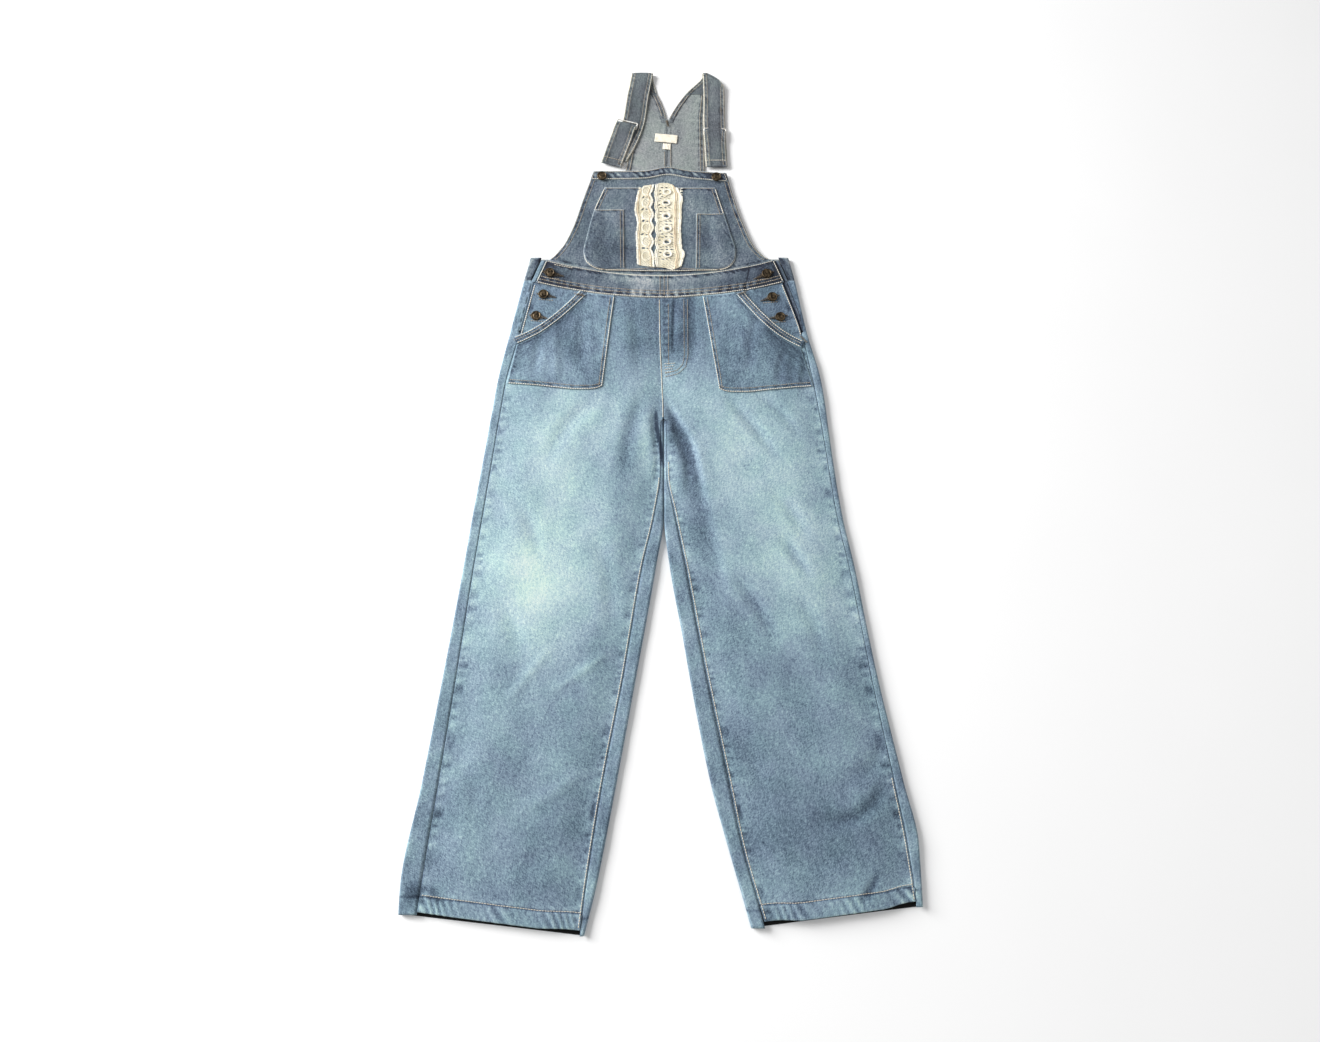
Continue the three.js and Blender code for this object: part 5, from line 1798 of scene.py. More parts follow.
@dataclass
class LaceTrim:
    """A crochet trim on the bib pocket: close bars of yarn drawn apart round its eyes, under raised work.

    The four edges are uneven curves: left and right as (y, x) rows from below, foot and top as (x, y) rows.
    Eyes are rows of (x, y, half width, half height), rings likewise, and lines and the tan lines of painted
    shade are places across.
    """

    name: str
    node: str
    left: tuple[tuple[float, float], ...]
    right: tuple[tuple[float, float], ...]
    foot: tuple[tuple[float, float], ...]
    top: tuple[tuple[float, float], ...]
    eyes: tuple[tuple[float, float, float, float], ...]
    rings: tuple[tuple[float, float, float, float], ...]
    lines: tuple[float, ...]
    aged: tuple[float, ...]
    tufts: tuple[tuple[float, float, float], ...] = ()
    rounds: tuple[tuple[float, float, float], ...] = ((0.68, 0.0, 1.7), (0.86, 0.1, 1.95))
    bar_pitch: float = 1.95

    def plan(self, u: Array, v: Array) -> Array:
        """Points at u across and v up the trim, with small loops at both side edges.

        Args:
            u: across, from 0 to 1.
            v: up, from 0 to 1.

        Returns:
            Rows of x and y.
        """
        foot_y, top_y = self.foot[0][1], self.top[0][1]
        y = blend(foot_y, top_y, v)
        x = blend(Profile(self.left)(y), Profile(self.right)(y), u)
        x = x + (2 * u - 1) * (0.5 * np.sin(y * 1.4) + 0.35 * np.sin(y * 0.53 + 1.0))
        rows = blend(Profile(self.foot)(x), Profile(self.top)(x), v)
        return np.column_stack([x, rows])

    def drawn(self, plan: Array) -> Array:
        """Moves points out of the eyes: from r radii off an eye's middle to (1 + r^4)^(1/4) radii, which are
        the eye's half sizes and 0.8 mm more.

        Args:
            plan: rows of x and y.

        Returns:
            The moved rows.
        """
        moved = plan.copy()
        for x, y, rx, ry in self.eyes:
            size = (rx + 0.8, ry + 0.8)
            away = (moved - (x, y)) / size
            r = np.maximum(np.linalg.norm(away, axis=-1, keepdims=True), 1e-3)
            moved = (x, y) + away / r * (1.0 + r**4) ** 0.25 * size
        return moved

    def build(self, pocket: Bib) -> Object:
        """Makes the trim on the bib pocket's face: bars, rings, edge lines, tan lines of painted shade and
        loose tufts.

        Args:
            pocket: the bib whose pocket it lies on.

        Returns:
            The object.
        """
        ground, raised, aged = Yarn(1.0), Yarn(0.75), Yarn(0.8)

        def lay(yarn: Yarn, plan: Array, lift: float, closed: bool = False, flat: float = 0.9) -> None:
            """One run of yarn at a height above the pocket."""
            z = pocket.pocket_height(plan[:, 0], plan[:, 1]) + lift
            yarn.run(np.column_stack([plan, z]), closed, flat=flat)

        tall = self.top[0][1] - self.foot[0][1]
        across = np.linspace(0.0, 1.0, 26)
        for k in range(int(tall / self.bar_pitch) + 1):
            wave = 0.35 * np.sin(across * 37 + k * 2.7) / tall
            plan = self.plan(across, k * self.bar_pitch / tall + wave)
            lay(ground, self.drawn(plan), 0.6 + 0.15 * math.sin(k * 5.1), False, 0.45)
        up = np.linspace(-0.004, 1.004, 190)
        # Painted shade: the tan lines run down the trim where its work lies in shadow.
        for group, yarn, lift in ((self.lines, raised, 1.15), (self.aged, aged, 1.1)):
            for t in group:
                plan = self.plan(np.full_like(up, t), up)
                wave = np.column_stack([0.3 * np.sin(up * 300 + t * 9), 0.5 * np.sin(up * 410)])
                lay(yarn, self.drawn(plan + wave), lift)
        turn = np.linspace(0, 2 * np.pi, 60, endpoint=False)
        for cx, cy, rx, ry in self.rings:
            for share, petal, lift in self.rounds:
                r = share + petal / rx * np.cos(9 * turn + 4 * share)
                plan = np.column_stack([cx + rx * r * np.cos(turn), cy + ry * r * np.sin(turn)])
                lay(raised, plan, lift, True)
        for x, y, length in self.tufts:
            for k in range(5):
                t = np.linspace(0, 1, 8)
                lean = 0.5 * math.sin(k * 2.4 + y)
                tip_y = y + 1.8 * (k - 2) + length * t * math.sin(lean)
                plan = np.column_stack([x + length * t * math.cos(lean), tip_y])
                lay(raised, plan, 0.8 + 0.2 * math.sin(k * 1.9))
        for yarn, suffix, finish in ((raised, "worked", Finish.CROCHET), (aged, "aged", Finish.FLAX)):
            part = yarn.mesh(f"{self.name}_{suffix}")
            Cloth.finish(part, Piece(part.name, "lace", finish))
        obj = ground.mesh(self.name)
        Cloth.finish(obj, Piece(self.name, "lace", Finish.GROUND, (self.node,)))
        half = 0.5 * sum(p.area for p in obj.data.polygons)
        width = (max(x for _, x in self.right) - min(x for _, x in self.left)) * MM
        tall * MM
        min(half, width * tall * MM)
        return obj


@dataclass
class BackBib:
    """Back of the bib, seen from inside: two halves joined down the middle and parted above by the V."""

    rows: tuple[tuple[float, float, float], ...] = (
        (1056, -182, 182), (1072, -174, 168), (1110, -138, 136), (1150, -104, 108),
        (1195, -75, 88), (1240, -60, 79), (1334, -50, 79), (1394, -50, 84),
    )
    notch: tuple[float, float] = (13.0, 1334.0)
    notch_top: tuple[float, float, float] = (1394.0, -5.0, 46.0)
    hem: float = 9.0

    def middle(self, sign: float, y: Array) -> Array:
        """X of the centre seam, and above the notch of that half's side of the V.

        Args:
            sign: -1 left, 1 right.
            y: plan, in millimetres.

        Returns:
            X.
        """
        top_y, left, right = self.notch_top
        t = np.maximum(0.0, (y - self.notch[1]) / (top_y - self.notch[1]))
        base = blend(0.0, self.notch[0], np.clip((y - 1056) / 200, 0, 1))
        bow = 2.5 * np.sin(np.pi * np.clip(t, 0, 1))
        return blend(base, left if sign < 0 else right, t) + sign * (CUT.seam / 2 - bow)

    def half(self, side: Side) -> Surface:
        """One half of the back bib.

        Args:
            side: which half.

        Returns:
            The half's surface.
        """
        sign = float(side.value)
        column = 1 if side is Side.LEFT else 2
        outer = Profile([(r[0], r[column]) for r in self.rows])
        v = np.linspace(0.0, 1.0, 130)[:, None]
        y = blend(1056.3, 1394.0, v)
        u = spaced(56, 0.5)[None, :]
        x = blend(self.middle(sign, y), outer(y), u)
        out = np.abs(outer(y) - x)
        inn = np.abs(x - self.middle(sign, y))
        v_edge = np.where(y > self.notch[1] - 2, inn, 99.0)
        hem = smooth(self.hem + 0.8, self.hem - 0.4, np.minimum(out, v_edge))
        seam = bell(inn, 2.2) * smooth(1338.0, 1330.0, y)
        rib = 0.5 * smooth(8.0, 5.0, np.abs(x - 13.5)) * smooth(1340.0, 1332.0, y)
        wave = puckers(y + 0.2 * x, np.maximum(np.minimum(out, v_edge) - self.hem, 0.0), 15.0, 8.0)
        z = 1.6 + 0.75 * hem + rib - 0.3 * seam + 0.22 * wave
        z = z + 0.3 * ripple(x * 1.4, y * 1.2) * smooth(0, 12, out)
        turned = np.minimum(out, v_edge)
        shade = -0.24 * bell(turned - self.hem - 0.8, 1.0) - 0.1 * seam + 0.08 * wave
        shade = shade - 0.17 * hem + 0.2 * bell(turned - 0.8, 1.2) + 0.1 * bell(turned - self.hem + 0.6, 0.9)
        shade = shade - 0.06 * smooth(7.5, 5.0, np.abs(x - 13.5)) * smooth(1340.0, 1332.0, y)
        stain = -0.12 * np.exp(-(((x - 33) / 9) ** 2) - ((y - 1318) / 24) ** 2)
        grid = np.stack([x, y + 0 * x, z], -1)
        piece = Piece.cloth(f"back_bib_{side.word}", "inside_denim", Finish.INSIDE, Finish.BIB)
        return Cloth.panel(piece, grid, 1.3, wear=shade + stain, rests_on=("cloth_waistband_back",))


@dataclass
class Strap:
    """One strap: up from the back bib, folded forward, and down over itself to the slider and its end."""

    side: Side
    back: tuple[tuple[float, float, float, float], ...]
    front: tuple[tuple[float, float, float, float, float], ...]
    end: tuple[tuple[float, float, float, float, float], ...]
    slider: tuple[float, float, float, float]
    rounding: float
    rounding_reach: float = 22.0
    wall: float = 1.6
    fold: float = 2.7
    slack: float = 0.3

    @property
    def seat(self) -> float:
        """Height of the slider's lower face."""
        return self.front[2][4] + self.wall + self.slack

    def ribbon(self, piece: Piece, stations: Array, rests_on: tuple[str, ...]) -> Surface:
        """A ribbon between pairs of edge points, on smooth curves of the distance along it.

        Args:
            piece: what the ribbon is.
            stations: rows of (left x, y, z, right x, y, z).
            rests_on: names of what it lies on.

        Returns:
            The ribbon's upper surface.
        """
        middle = (stations[:, :3] + stations[:, 3:]) / 2
        gone = np.concatenate([[0.0], np.cumsum(np.linalg.norm(np.diff(middle, axis=0), axis=1))])
        at = np.union1d(np.linspace(0.0, gone[-1], int(gone[-1] / 1.6)), gone)
        smooth_rows = np.stack([Profile(list(zip(gone, stations[:, k])))(at) for k in range(6)], axis=-1)
        u = np.linspace(0.0, 1.0, 26)[None, :, None]
        grid = smooth_rows[:, None, :3] * (1 - u) + smooth_rows[:, None, 3:] * u
        border = Surface(grid).border()
        x, y = grid[..., 0], grid[..., 1]
        side = Surface.reach(grid)
        side = np.minimum(side, side[:, -1:] - side)
        fold_at = gone[np.argmax(middle[:, 1])]
        bump, tone = sewn_edge(side, x, y, 17.0)
        tone = 1.3 * tone + 0.15 * smooth(9.0, 6.0, side) - 0.12 * bell(side - 10.0, 1.6) - 0.05
        ends = -0.3 * bell(border, 1.0)
        near_fold = bell(fold_at - at[:, None], self.rounding_reach)
        grid[..., 1] -= self.rounding * np.abs(2 * u[..., 0] - 1) ** 3 * near_fold
        run = np.gradient(grid, axis=0)
        wide = np.gradient(grid, axis=1)
        normal = np.cross(wide, run)
        normal /= np.maximum(np.linalg.norm(normal, axis=2, keepdims=True), 1e-9)
        normal *= np.where(normal[..., 2:] < 0, -1.0, 1.0)
        grid = grid + normal * (0.7 * bump + ends * 0.5)[..., None]
        grid[..., 2] = np.maximum(grid[..., 2], self.wall / 2 + 0.05)
        tone = tone + 0.05 * ripple(x * 3, y * 2)
        Cloth.panel(piece, grid, self.wall, offset=0.0, wear=tone, rests_on=rests_on)
        return Surface(grid + normal * (self.wall / 2))

    def build(self) -> Surface:
        """The strap itself.

        Returns:
            The strap's surface.
        """
        mid = self.wall / 2
        rows = [(lx, ly, mid, rx, ry, mid) for lx, ly, rx, ry in self.back]
        lx, ly, rx, ry = self.back[-1]
        for t in np.linspace(0, 1, 13)[1:]:
            dy, z = self.fold * math.sin(math.pi * t), mid + self.fold * (1 - math.cos(math.pi * t))
            rows.append((lx, ly + dy, z, rx, ry + dy, z))
        rows += [(a, b, z + mid, c, d, z + mid) for a, b, c, d, z in self.front]
        piece = Piece.cloth(f"strap_{self.side.word}", "strap_denim", Finish.STRAP)
        return self.ribbon(piece, np.array(rows), (f"cloth_back_bib_{self.side.word}",))

    def build_end(self) -> Surface:
        """The strap's end, which comes back over the slider's bar.

        Returns:
            The end's surface.
        """
        z = self.seat + self.wall / 2
        rows = [(a, b, z + rise, c, d, z + rise) for a, b, c, d, rise in self.end]
        piece = Piece.cloth(f"strap_end_{self.side.word}", "strap_denim", Finish.STRAP)
        return self.ribbon(piece, np.array(rows), (f"cloth_strap_{self.side.word}",))

    def build_slider(self) -> None:
        """The slider: a frame of flattened wire with a bar across."""
        depth, bar, thick = 16.0, 3.0, 1.8
        x, y, turn, width = self.slider
        w, d, c = (width - bar) / 2, (depth - bar) / 2, 2.2
        corner = np.linspace(0, np.pi / 2, 7)
        loop = np.concatenate([
            np.column_stack([sx * (w - c) + c * np.cos(a0 + corner), sy * (d - c) + c * np.sin(a0 + corner)])
            for sx, sy, a0 in ((1, 1, 0.0), (-1, 1, np.pi / 2), (-1, -1, np.pi), (1, -1, 1.5 * np.pi))
        ])
        wire = Yarn(bar / 2)
        ca, sa = math.cos(math.radians(turn)), math.sin(math.radians(turn))
        for path, closed in ((loop, True), (np.column_stack([np.linspace(-w, w, 12), np.zeros(12)]), False)):
            plan = path @ np.array([[ca, sa], [-sa, ca]]) + (x, y)
            level = np.full(len(plan), self.seat + thick / 2)
            wire.run(np.column_stack([plan, level]), closed, 0.02, thick / bar)
        obj = wire.mesh(f"metal_slider_{self.side.word}")
        Cloth.finish(obj, Piece(obj.name, "slider_metal", Finish.NICKEL, (f"slider_{self.side.word}",)))


@dataclass
class Button:
    """A cast metal button: a low disc with a rim, a dish and a small dome."""

    node: str
    x: float
    y: float
    lift: float
    profile: tuple[tuple[float, float], ...] = (
        (0.0, 0.0), (7.2, 0.0), (8.1, 0.5), (8.5, 1.3), (8.4, 2.5), (8.0, 3.05), (7.4, 3.2),
        (6.9, 3.0), (6.5, 2.6), (5.6, 2.45), (4.6, 2.5), (4.1, 2.8), (3.4, 3.0), (2.4, 2.95),
        (1.6, 2.75), (0.8, 2.65), (0.0, 2.62),
    )
    sides: int = 48

    def build(self) -> None:
        """Turns the profile round the button's middle, with single points at both ends."""
        angle = np.arange(self.sides) * 2 * np.pi / self.sides
        r, z = (np.array(c)[1:-1] for c in zip(*self.profile))
        base = float(CUT.loft(np.array(self.y - 8.5))) + self.lift + 0.3
        ring = np.stack([self.x + r[:, None] * np.cos(angle), self.y + r[:, None] * np.sin(angle),
                         base + z[:, None] + 0 * angle], -1)
        count = len(r)
        poles = [[self.x, self.y, base], [self.x, self.y, base + self.profile[-1][1]]]
        points = np.concatenate([ring.reshape(-1, 3), poles])
        i, s = np.arange(count - 1)[:, None], np.arange(self.sides)[None, :]
        t = (s + 1) % self.sides
        n = self.sides
        quads = np.stack([i * n + s, i * n + t, (i + 1) * n + t, (i + 1) * n + s], -1).reshape(-1, 4)
        low, high = count * n, count * n + 1
        s, t = s[0], t[0]
        last = (count - 1) * n
        fans = np.stack([np.full(n, low), t, s], -1).tolist()
        fans += np.stack([np.full(n, high), last + s, last + t], -1).tolist()
        data = bpy.data.meshes.new(f"metal_{self.node}")
        data.from_pydata(Cloth.place(points).tolist(), [], quads.tolist() + fans)
        data.polygons.foreach_set("use_smooth", np.ones(len(data.polygons), bool))
        obj = bpy.data.objects.new(f"metal_{self.node}", data)
        bpy.context.scene.collection.objects.link(obj)
        Cloth.finish(obj, Piece(obj.name, "button_metal", Finish.BRONZE, (self.node,)))


@dataclass
class Satin:
    """Close cross stitches that fill a narrow shape: bartacks, and the worked ends of buttonholes.

    Rows are (x0, y0, x1, y1, first width, last width, height). The height is above the front's face, or above
    the floor for the loose ones.
    """

    name: str
    finish: Finish
    slot: str
    shapes: tuple[tuple[float, float, float, float, float, float, float], ...]
    loose: tuple[tuple[float, float, float, float, float, float, float], ...] = ()

    def build(self) -> None:
        """Zigzags along each row, whose width goes from the first to the last, at the row's height."""
        yarn = Yarn(0.42)
        for x0, y0, x1, y1, wide, narrow, lift in self.shapes + self.loose:
            length = math.hypot(x1 - x0, y1 - y0)
            count = max(4, int(length / 0.62))
            t = np.linspace(0.0, 1.0, count)
            width = blend(wide, narrow, t) * (0.92 + 0.08 * np.sin(np.arange(count) * 1.7))
            side = np.where(np.arange(count) % 2 == 0, 0.5, -0.5) * width
            nx, ny = -(y1 - y0) / length, (x1 - x0) / length
            x, y = blend(x0, x1, t) + nx * side, blend(y0, y1, t) + ny * side
            on_floor = (x0, y0, x1, y1, wide, narrow, lift) in self.loose
            base = np.zeros(count) if on_floor else front_height(x, y)
            yarn.run(np.column_stack([x, y, base + lift]), flat=0.8)
        obj = yarn.mesh(self.name)
        Cloth.finish(obj, Piece(self.name, self.slot, self.finish))


@dataclass
class Label:
    """A blank woven label sewn down at its ends."""

    name: str
    node: str
    width: float
    height: float
    x: float
    y: float
    turn: float = -6.0
    wall: float = 0.45

    def build(self) -> Surface:
        """A small sheet, a little bowed between its sewn ends.

        Returns:
            The label's surface.
        """
        u = np.linspace(-0.5, 0.5, 40)[None, :]
        v = np.linspace(-0.5, 0.5, 18)[:, None]
        a = math.radians(self.turn)
        px, py = u * self.width + 0 * v, v * self.height + 0 * u
        x = self.x + px * math.cos(a) - py * math.sin(a)
        y = self.y + px * math.sin(a) + py * math.cos(a)
        z = 3.0 + 0.35 * np.cos(np.pi * u) + 0.12 * np.sin(u * 17 + v * 5)
        grid = np.stack([x, y, z], -1)
        piece = Piece(self.name, "label", Finish.TAPE, (self.node,))
        return Cloth.panel(piece, grid, self.wall, rests_on=("cloth_back_bib_left",))


FLY_ROWS = (
    [(40, 976), (40, 872), (37, 856), (28, 846), (8, 841)],
    [(46, 976), (46, 872), (42, 852), (30, 840), (8, 835)],
    [(14, 968), (14, 856)],
)
BUTTONHOLES = (
    (-200, 1029, -189, 1026, 2.0, 15.0, 1.6), (-189, 1026, -163, 1019, 15.0, 1.5, 1.6),
    (-208, 987, -197, 985, 2.0, 14.0, 1.0), (-197, 985, -175, 979, 14.0, 1.5, 1.0),
    (-219, 947, -208, 945, 2.0, 14.0, 1.0), (-208, 945, -187, 939, 14.0, 1.5, 1.0),
    (193, 1028, 182, 1024, 2.0, 15.0, 1.6), (182, 1024, 159, 1014, 15.0, 1.5, 1.6),
    (201, 984, 190, 980, 2.0, 14.0, 1.0), (190, 980, 168, 972, 14.0, 1.5, 1.0),
    (213, 946, 202, 943, 2.0, 14.0, 1.0), (202, 943, 181, 939, 14.0, 1.5, 1.0),
)
THREAD_ENDS = ((12, 1337, 15, 1324, 5.0, 3.5, 3.4), (-72, 1245, -64, 1241, 5.0, 4.0, 5.6))
BARTACKS = (
    (-242, 902, -234, 897, 3.0, 3.0, 1.4), (232, 908, 243, 897, 3.4, 3.4, 1.4),
    (-144, 985, -128, 981, 3.4, 3.4, 3.6), (130, 983, 145, 989, 3.4, 3.4, 3.6),
)


@dataclass
class Garment:
    """The whole garment: builds the panels in order and sews them."""

    pockets: tuple[Pocket, ...] = (
        Pocket(Side.LEFT, 811, -76, -94, -123, 984, -237, 893, 13),
        Pocket(Side.RIGHT, 806, 71, 96, 128, 984, 233, 886, 15),
    )
    straps: tuple[Strap, ...] = (
        Strap(
            Side.LEFT,
            ((-50, 1394.4, -5, 1394.4), (-52, 1436, -13, 1436)),
            ((-53, 1427, -14, 1427, 5.2), (-60, 1385, -21, 1383, 3.6), (-66, 1341, -27, 1334, 2.5),
             (-77, 1300, -40, 1290, 2.5), (-97, 1262, -59, 1250, 2.5)),
            ((-78, 1333, -42, 1323, 2.1), (-82, 1321, -46, 1311, 2.1), (-87, 1305, -51, 1294, 0),
             (-104, 1247, -69, 1237, 0)),
            (-59.4, 1326.6, -15.5, 40.0), 1.5,
        ),
        Strap(
            Side.RIGHT,
            ((46, 1394.4, 84, 1394.4), (77, 1442, 114, 1417)),
            ((78, 1439, 116, 1414, 5.2), (79, 1384, 117, 1384, 3.6), (78, 1334, 117, 1334, 2.5),
             (79, 1290, 118, 1290, 2.5), (80, 1250, 119, 1250, 2.5)),
            ((78, 1319, 117, 1317, 2.1), (78, 1307, 117, 1305, 2.1), (79, 1290, 117, 1289, 0),
             (81, 1238, 119, 1238, 0)),
            (98.5, 1311.0, -3, 42.0), 8.0,
        ),
    )
    buttons: tuple[Button, ...] = (
        Button("button_bib_left", -102, 1217, 1.4),
        Button("button_bib_right", 99, 1215, 1.4),
        Button("button_side_left_1", -187, 1026, 0.5),
        Button("button_side_left_2", -196, 985, 0.0),
        Button("button_side_left_3", -207, 945, 0.0),
        Button("button_side_right_1", 181, 1024, 0.5),
        Button("button_side_right_2", 189, 980, 0.0),
        Button("button_side_right_3", 201, 943, 0.0),
    )

    def __post_init__(self) -> None:
        """Starts the three meshes of stitches."""
        self.cream = SeamStitches("stitches_trousers", Finish.CREAM, "leg_denim")
        self.upper = SeamStitches("stitches_bib", Finish.CREAM, "bib_denim")
        self.tan = SeamStitches("stitches_tan", Finish.TAN, "bib_denim")
        self.fronts: dict[Side, Surface] = {}

    def legs(self) -> None:
        """The legs and the fly's stitching."""
        cream, tan = self.cream, self.tan
        for side in Side:
            leg = Leg(side)
            self.fronts[side] = leg.front()
            leg.back()
            leg.stitches(self.fronts[side], cream)
        fly = self.fronts[Side.RIGHT]
        for path in FLY_ROWS:
            tan.row(fly.drop(path, 0.2), width=1.0)
        for k in range(4):
            cream.row(fly.drop([(7, 858 - 5 * k), (25 - 2 * k, 859 - 5 * k)], 0.3), 3.4, 3.0, 1.1)

    def hips(self) -> None:
        """The waistbands, the underlaps and the hip pockets."""
        cream, upper, tan = self.cream, self.upper, self.tan
        waist = Waist()
        band = waist.front()
        waist.back()
        for side in Side:
            waist.underlap(side)
        for pocket in self.pockets:
            patch, mouth = pocket.patch(), pocket.band()
            for edge in (Edge.LEFT, Edge.FOOT):
                cream.row(patch.inset(edge, 1.4, 0, 3), width=1.7)
                tan.row(patch.inset(edge, 7.2, 3, 3), width=1.1)
            cream.row(mouth.inset(Edge.FOOT, 1.5, 2, 2), width=1.6)
            cream.row(mouth.inset(Edge.TOP, 2.4, 2, 2), width=1.6)
            tan.row(mouth.inset(Edge.FOOT, 7.0, 2, 2), width=1.0)
        upper.row(band.inset(Edge.FOOT, 1.6, 2, 2), width=1.7)
        tan.row(band.inset(Edge.FOOT, 8.0, 2, 2))
        tan.row(band.inset(Edge.FOOT, 13.5, 2, 2))
        upper.row(band.inset(Edge.TOP, 1.8, 2, 2), width=1.1)
        for edge in (Edge.LEFT, Edge.RIGHT):
            upper.row(band.inset(edge, 1.8, 2, 2), width=1.7)
        for x in (0, 7, 13):
            tan.row(band.drop([(x, 983), (x, 1020)]))
        upper.row(band.drop([(-180, 1042), (-148, 1035)], 0.2))

    def front_bib(self) -> None:
        """The bib, its pockets and its trims."""
        upper, tan = self.upper, self.tan
        bib = Bib()
        panel, top, pocket = bib.panel(), bib.band(), bib.pocket()
        for edge in (Edge.LEFT, Edge.RIGHT):
            tan.row(panel.inset(edge, 1.8, 4, 16), width=1.5)
            tan.row(panel.inset(edge, 8.0, 4, 16), width=1.1)
            upper.row(top.inset(edge, 2.0, 2, 2))
        upper.row(top.inset(Edge.FOOT, 1.8, 2, 2), width=1.4)
        tan.row(top.inset(Edge.TOP, 2.4, 2, 2))
        for edge in (Edge.LEFT, Edge.RIGHT, Edge.FOOT):
            upper.row(pocket.inset(edge, 1.5, 3, 3), width=1.9)
            tan.row(pocket.inset(edge, 7.4, 3, 3), width=1.1)
        tan.row(pocket.inset(Edge.TOP, 2.4, 3, 3), width=1.1)
        for side in Side:
            small = bib.side_pocket(side)
            tan.row(small.inset(Edge.LEFT, 2.0, 2, 2), width=1.3)
            tan.row(small.inset(Edge.LEFT, 7.0, 2, 2), width=1.0)
            tan.row(small.inset(Edge.TOP, 2.2, 2, 2))
        self.left_trim().build(bib)
        self.right_trim().build(bib)

    @staticmethod
    def left_trim() -> LaceTrim:
        """The narrow trim: a row of eyes and small holes down its left side, and raised ovals down its right.

        Returns:
            The trim.
        """
        holes = ((-29.6, 1173.8), (-30.3, 1149.8), (-28.3, 1126.4), (-29.6, 1099.7), (-28.3, 1073.0))
        return LaceTrim(
            "lace_left", "lace_trim_left",
            ((1040, -37.5), (1050, -39), (1072, -39.6), (1100, -41), (1121, -39), (1150, -43.6), (1186, -38),
             (1200, -35)),
            ((1040, -9.6), (1062, -10.4), (1074, -15.4), (1086, -10.4), (1099, -15.6), (1110, -10.4),
             (1121, -14.6), (1133, -10.8), (1146, -15.8), (1156, -11.6), (1168, -16.2), (1180, -11.4),
             (1200, -9.8)),
            ((-40, 1044), (-34, 1041), (-9, 1037)), ((-40, 1185), (-34, 1189), (-26, 1197.5), (-9, 1199)),
            tuple((x, y, 2.6, 2.5) for x, y in holes) + tuple((x + 7, y - 0.5, 1.5, 1.6) for x, y in holes),
            tuple((-23.0, y, 7.6, 8.6) for y in (1186.5, 1162, 1138, 1113, 1086.4, 1058)),
            (0.02, 0.07, 0.94, 0.99), (0.17, 0.8), ((-37, 1190, 3.5),),
            ((1.0, 0.3, 1.0),),
        )

    @staticmethod
    def right_trim() -> LaceTrim:
        """The wide trim: large eyes in a row of rings, with small eyes round each.

        Returns:
            The trim.
        """
        middles = ((12.5, 1184), (10.8, 1162), (11.2, 1135.4), (12.9, 1110), (12.2, 1084.7), (13.2, 1060.8))
        eyes = [(x, y, 4.0, 3.1) for x, y in middles[1:]]
        eyes += [
            (x + dx, y + dy, 1.9, 1.6)
            for x, y in middles for dx in (-9.0, -1.0, 7.0) for dy in (-9.6, 9.6)
            if (dx, dy, y) != (7.0, 9.6, 1184.0)
        ]
        eyes += [(x - 12.2, y + dy, 1.5, 1.6) for x, y in middles for dy in (-3.6, 3.6)]
        return LaceTrim(
            "lace_right", "lace_trim_right",
            ((1035, -6.5), (1062, -9.2), (1074, -6.6), (1086, -8.8), (1099, -5.8), (1110, -8.6), (1121, -6.2),
             (1133, -9), (1146, -7.4), (1156, -9.6), (1168, -8), (1180, -9.4), (1203, -7)),
            ((1035, 36), (1046, 39), (1062, 42.6), (1074, 38), (1090, 37), (1114, 36), (1140, 37.4),
             (1161, 37.6), (1182, 40), (1196, 33)),
            ((-7, 1038), (8, 1036), (20, 1032.5), (36, 1039)),
            ((-7, 1199), (2, 1203.5), (14, 1203), (26, 1195), (36, 1188)),
            tuple(eyes), tuple((x, y, 8.0, 6.6) for x, y in middles),
            (0.02, 0.08, 0.93, 0.98), (0.73, 0.79), ((38, 1062, 4.5), (35, 1186, 5.0), (34, 1168, 4.0)),
        )

    def back_bib(self) -> None:
        """The inside of the back bib."""
        tan = self.tan
        back = BackBib()
        for side in Side:
            half = back.half(side)
            for distance in (1.6, 7.4):
                tan.row(half.inset(Edge.RIGHT, distance, 2, 2), width=1.4)
                rim = half.inset(Edge.LEFT, distance, 2, 2)
                tan.row(rim[rim[:, 1] > 1338 + distance], width=1.4)
            tan.row(half.drop([(8, 1236), (8, 1272)] if side is Side.LEFT else [(19, 1236), (19, 1290)], 0.3))

    def hang(self) -> None:
        """The straps with their ends and sliders."""
        upper, tan = self.upper, self.tan
        for strap in self.straps:
            main, end = strap.build(), strap.build_end()
            for surface in (main, end):
                for edge in (Edge.LEFT, Edge.RIGHT):
                    tan.row(surface.inset(edge, 7.0, 2, 2), width=1.0)
                    bright = (edge is Edge.RIGHT) == (strap.side is Side.LEFT)
                    rim = upper if bright else tan
                    rim.row(surface.inset(edge, 1.6, 2, 2), width=1.2 if bright else 1.0)
            across = end.inset(Edge.TOP, 13.0, 1, 1)
            (upper if strap.side is Side.RIGHT else tan).row(across, width=1.3)
            strap.build_slider()

    def fasten(self) -> None:
        """The buttons, the worked buttonholes, the bartacks and both labels."""
        for button in self.buttons:
            button.build()
            if "side" in button.node:
                out = math.copysign(1.0, button.x)
                arc = [(button.x + out * 9, button.y - 8.6), (button.x - out * 6, button.y - 10.4),
                       (button.x - out * 17, button.y - 11.5)]
                front = self.fronts[Side.LEFT if out < 0 else Side.RIGHT]
                self.tan.row(front.drop(arc, button.lift + 0.3), width=1.2)
        Satin("stitches_buttonholes", Finish.BROWN, "button_metal", BUTTONHOLES, THREAD_ENDS).build()
        Satin("bartacks", Finish.TAN, "leg_denim", BARTACKS).build()
        Label("tape_neck_label", "neck_label", 40, 17, 11, 1299).build()
        Label("tape_size_tab", "size_tab", 14, 12, 12, 1282).build()

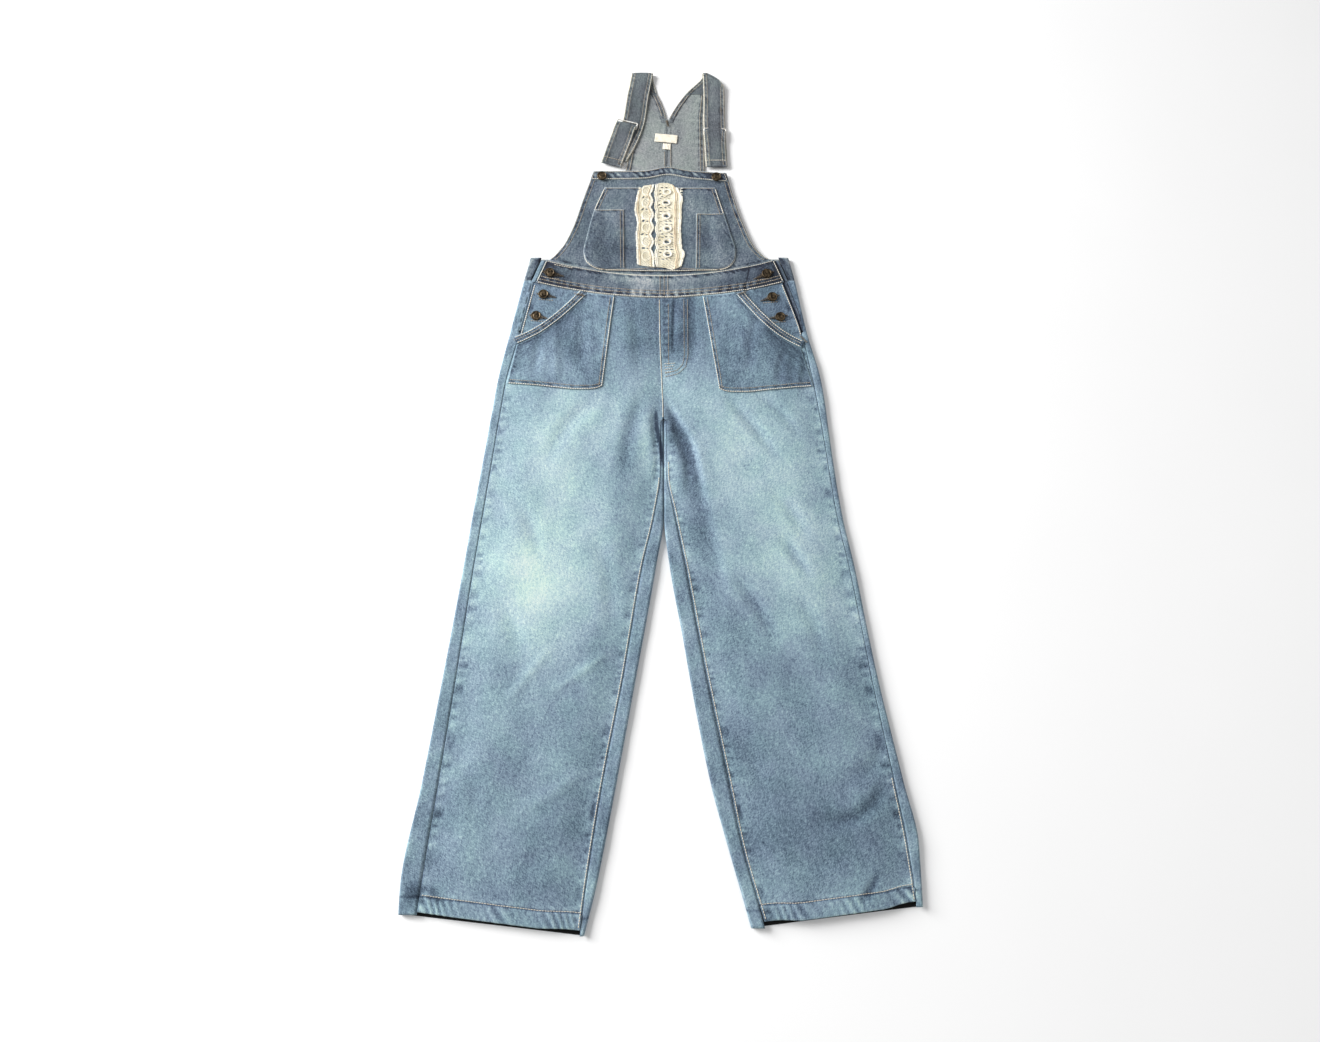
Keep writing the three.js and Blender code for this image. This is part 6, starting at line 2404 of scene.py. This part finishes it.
    def build(self) -> None:
        """Makes every piece from the legs up, and then the stitches."""
        for step in (self.legs, self.hips, self.front_bib, self.back_bib, self.hang, self.fasten):
            step()
        for rows in (self.cream, self.upper, self.tan):
            rows.build()


@dataclass(frozen=True)
class Studio:
    """Camera, lights and floor, in metres."""

    camera_at: tuple[float, float, float] = (-0.0014, -0.4380, 1.208)
    tilt: float = 14.4
    lens: float = 21.65
    floor: float = 4.0
    floor_drop: float = 0.2  # in millimetres

    def build(self) -> None:
        """Sets the camera at the photo's angle, soft light from the upper left and a plain pale floor."""
        scene = bpy.context.scene
        data = bpy.data.cameras.new("camera")
        data.lens, data.sensor_width = self.lens, 36.0
        camera = bpy.data.objects.new("camera", data)
        camera.location = self.camera_at
        camera.rotation_euler = (math.radians(self.tilt), 0.0, 0.0)
        scene.collection.objects.link(camera)
        scene.camera = camera
        half = self.floor / 2
        square = np.array([[-half, -half, 0], [half, -half, 0], [half, half, 0], [-half, half, 0]]) / MM
        square = square + np.array([MIDDLE[0], MIDDLE[1], -self.floor_drop])
        floor = Cloth.mesh("floor", square, np.array([[0, 1, 2, 3]]))
        paint = Nodes("pale_floor")
        tone = paint.noise(paint.place(), 3.0, 2.0)
        colour = paint.ramp(tone, ((0.0, Rgb(246, 246, 246)), (1.0, Rgb(250, 250, 250))))
        paint.link(colour, paint.shader.inputs["Base Color"])
        paint.surface({"Roughness": 0.8})
        floor.data.materials.append(paint.material)
        for name, place_at, size, power in (
            ("key", (-3.3, 1.4, 1.7), 2.2, 330.0),
            ("fill", (1.8, -0.6, 2.6), 2.6, 10.0),
        ):
            light = bpy.data.lights.new(name, "AREA")
            light.energy, light.size = power, size
            lamp = bpy.data.objects.new(name, light)
            lamp.location = place_at
            direction = -np.array(place_at)
            lamp.rotation_euler = (math.acos(-direction[2] / np.linalg.norm(direction)), 0.0,
                                   math.atan2(direction[1], direction[0]) - math.pi / 2)
            scene.collection.objects.link(lamp)
        world = bpy.data.worlds.new("studio")
        world.use_nodes = True
        sky = world.node_tree.nodes["Background"]
        sky.inputs["Color"].default_value = (1.0, 1.0, 1.0, 1.0)
        sky.inputs["Strength"].default_value = 0.4
        scene.world = world
        scene.view_settings.view_transform = "Standard"


def main() -> None:
    """Builds the garment and the studio."""
    logging.basicConfig(level=logging.INFO, format="%(name)s: %(message)s")
    Studio().build()
    Garment().build()


if __name__ == "__main__":
    main()
